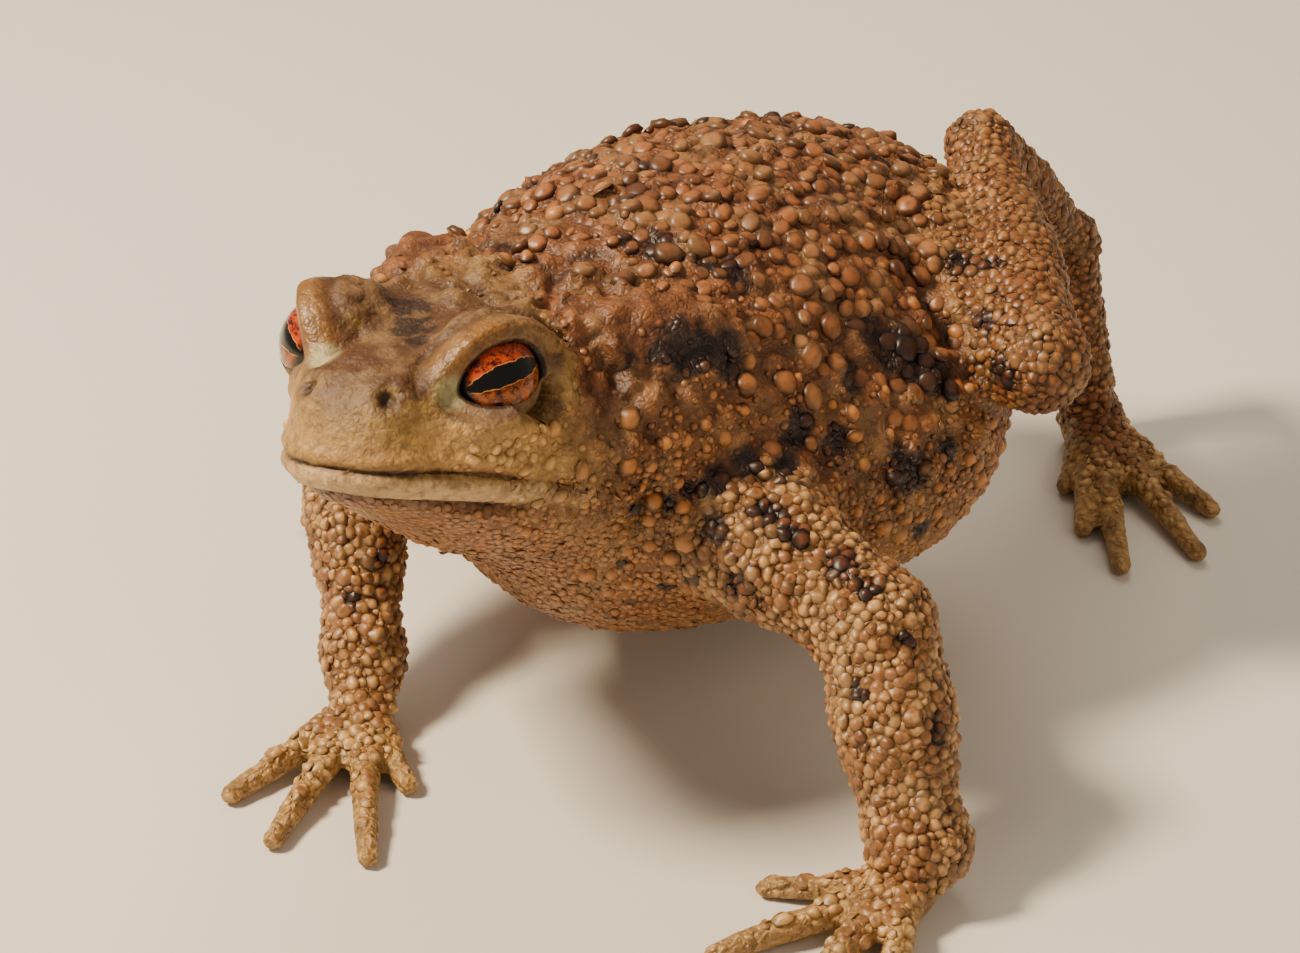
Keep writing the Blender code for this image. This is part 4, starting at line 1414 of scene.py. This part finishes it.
wet_eye = eye_material()
eyes = {}
for side, name in ((1, 'eye_left'), (-1, 'eye_right')):
    eyes[name] = make_eye(side, 'toad_' + name)
    eyes[name].data.materials.append(wet_eye)
    eyes[name].data.shade_smooth()

# %% Put the pieces in the solids' place
FLESH_NODES = [n for n in frame['nodes'] if not n.startswith('eye')]
for piece in [skin] + beads:
    place(piece)
    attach(piece, 'root')
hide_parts(*FLESH_NODES)
for name, piece in eyes.items():
    place(piece)
    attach(piece, 'root')
    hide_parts(name)

# %% [markdown]
# ## The floor, the light and the camera
# A plain pale floor and three lamps of warm light keep the eye on the toad: a
# small bright one on the camera's left, a wide soft one on its right and one
# behind. The camera stands where the photo was taken from: a little above, in
# front of the toad's left side.

# %% Floor, lamps and camera
FLOOR_HALF = 3.0
FLOOR_DROP = 0.0002
floor_paint, tree, shader = new_material('studio_floor')
feed(tree, shader, {'Base Color': '#d9d4ca', 'Roughness': 0.8})
mesh = bmesh.new()
bmesh.ops.create_grid(mesh, x_segments=1, y_segments=1, size=FLOOR_HALF)
floor = new_object('studio_floor', mesh)
floor.location.z = -FLOOR_DROP
floor.data.materials.append(floor_paint)

CAMERA_AZIMUTH = 39.8
CAMERA_ELEVATION = 30.7
CAMERA_DISTANCE = 430.0
CAMERA_TARGET = np.array([7.96, -5.89, 27.82])
FOCAL_PIXELS = 4086.0
PHOTO_WIDTH = 1300.0
LAMP_TARGET = np.array([0.0, 0.0, 30.0])


def toward(azimuth, elevation):
    """The way from the toad to something at an angle round it, as a unit vector."""
    a, e = math.radians(azimuth), math.radians(elevation)
    return np.array([math.sin(a) * math.cos(e), -math.cos(a) * math.cos(e), math.sin(e)])


def aim(thing, azimuth, elevation, distance, target):
    """Stand a lamp or a camera off the toad and point it at a target."""
    back = toward(azimuth, elevation)
    thing.location = Vector((target - ORIGIN + back * distance) * MM)
    thing.rotation_euler = Vector(back).to_track_quat('Z', 'Y').to_euler()
    bpy.context.scene.collection.objects.link(thing)


lens = bpy.data.cameras.new('camera')
lens.sensor_width = 36.0
lens.lens = FOCAL_PIXELS / PHOTO_WIDTH * lens.sensor_width
camera = bpy.data.objects.new('camera', lens)
aim(camera, CAMERA_AZIMUTH, CAMERA_ELEVATION, CAMERA_DISTANCE, CAMERA_TARGET)
bpy.context.scene.camera = camera

# Each lamp: azimuth, elevation, distance in mm, size in mm, watts and colour.
LAMPS = {
    'key': (-38, 50, 520, 110, 6.2, '#ffe9c8'),
    'fill': (95, 32, 600, 420, 1.05, '#ffe6c8'),
    'rim': (215, 50, 560, 260, 1.3, '#fff0dc'),
}
for name, (azimuth, elevation, distance, size, watts, tint) in LAMPS.items():
    light = bpy.data.lights.new(name, 'AREA')
    light.size = size * MM
    light.energy = watts
    light.color = colour(tint)[:3]
    lamp = bpy.data.objects.new(name, light)
    aim(lamp, azimuth, elevation, distance, LAMP_TARGET)
    lamp.visible_glossy = name == 'key'
world = bpy.data.worlds.new('studio')
world.use_nodes = True
sky = world.node_tree.nodes['Background']
feed(world.node_tree, sky, {'Color': '#f1e8dc', 'Strength': 0.35})
bpy.context.scene.world = world
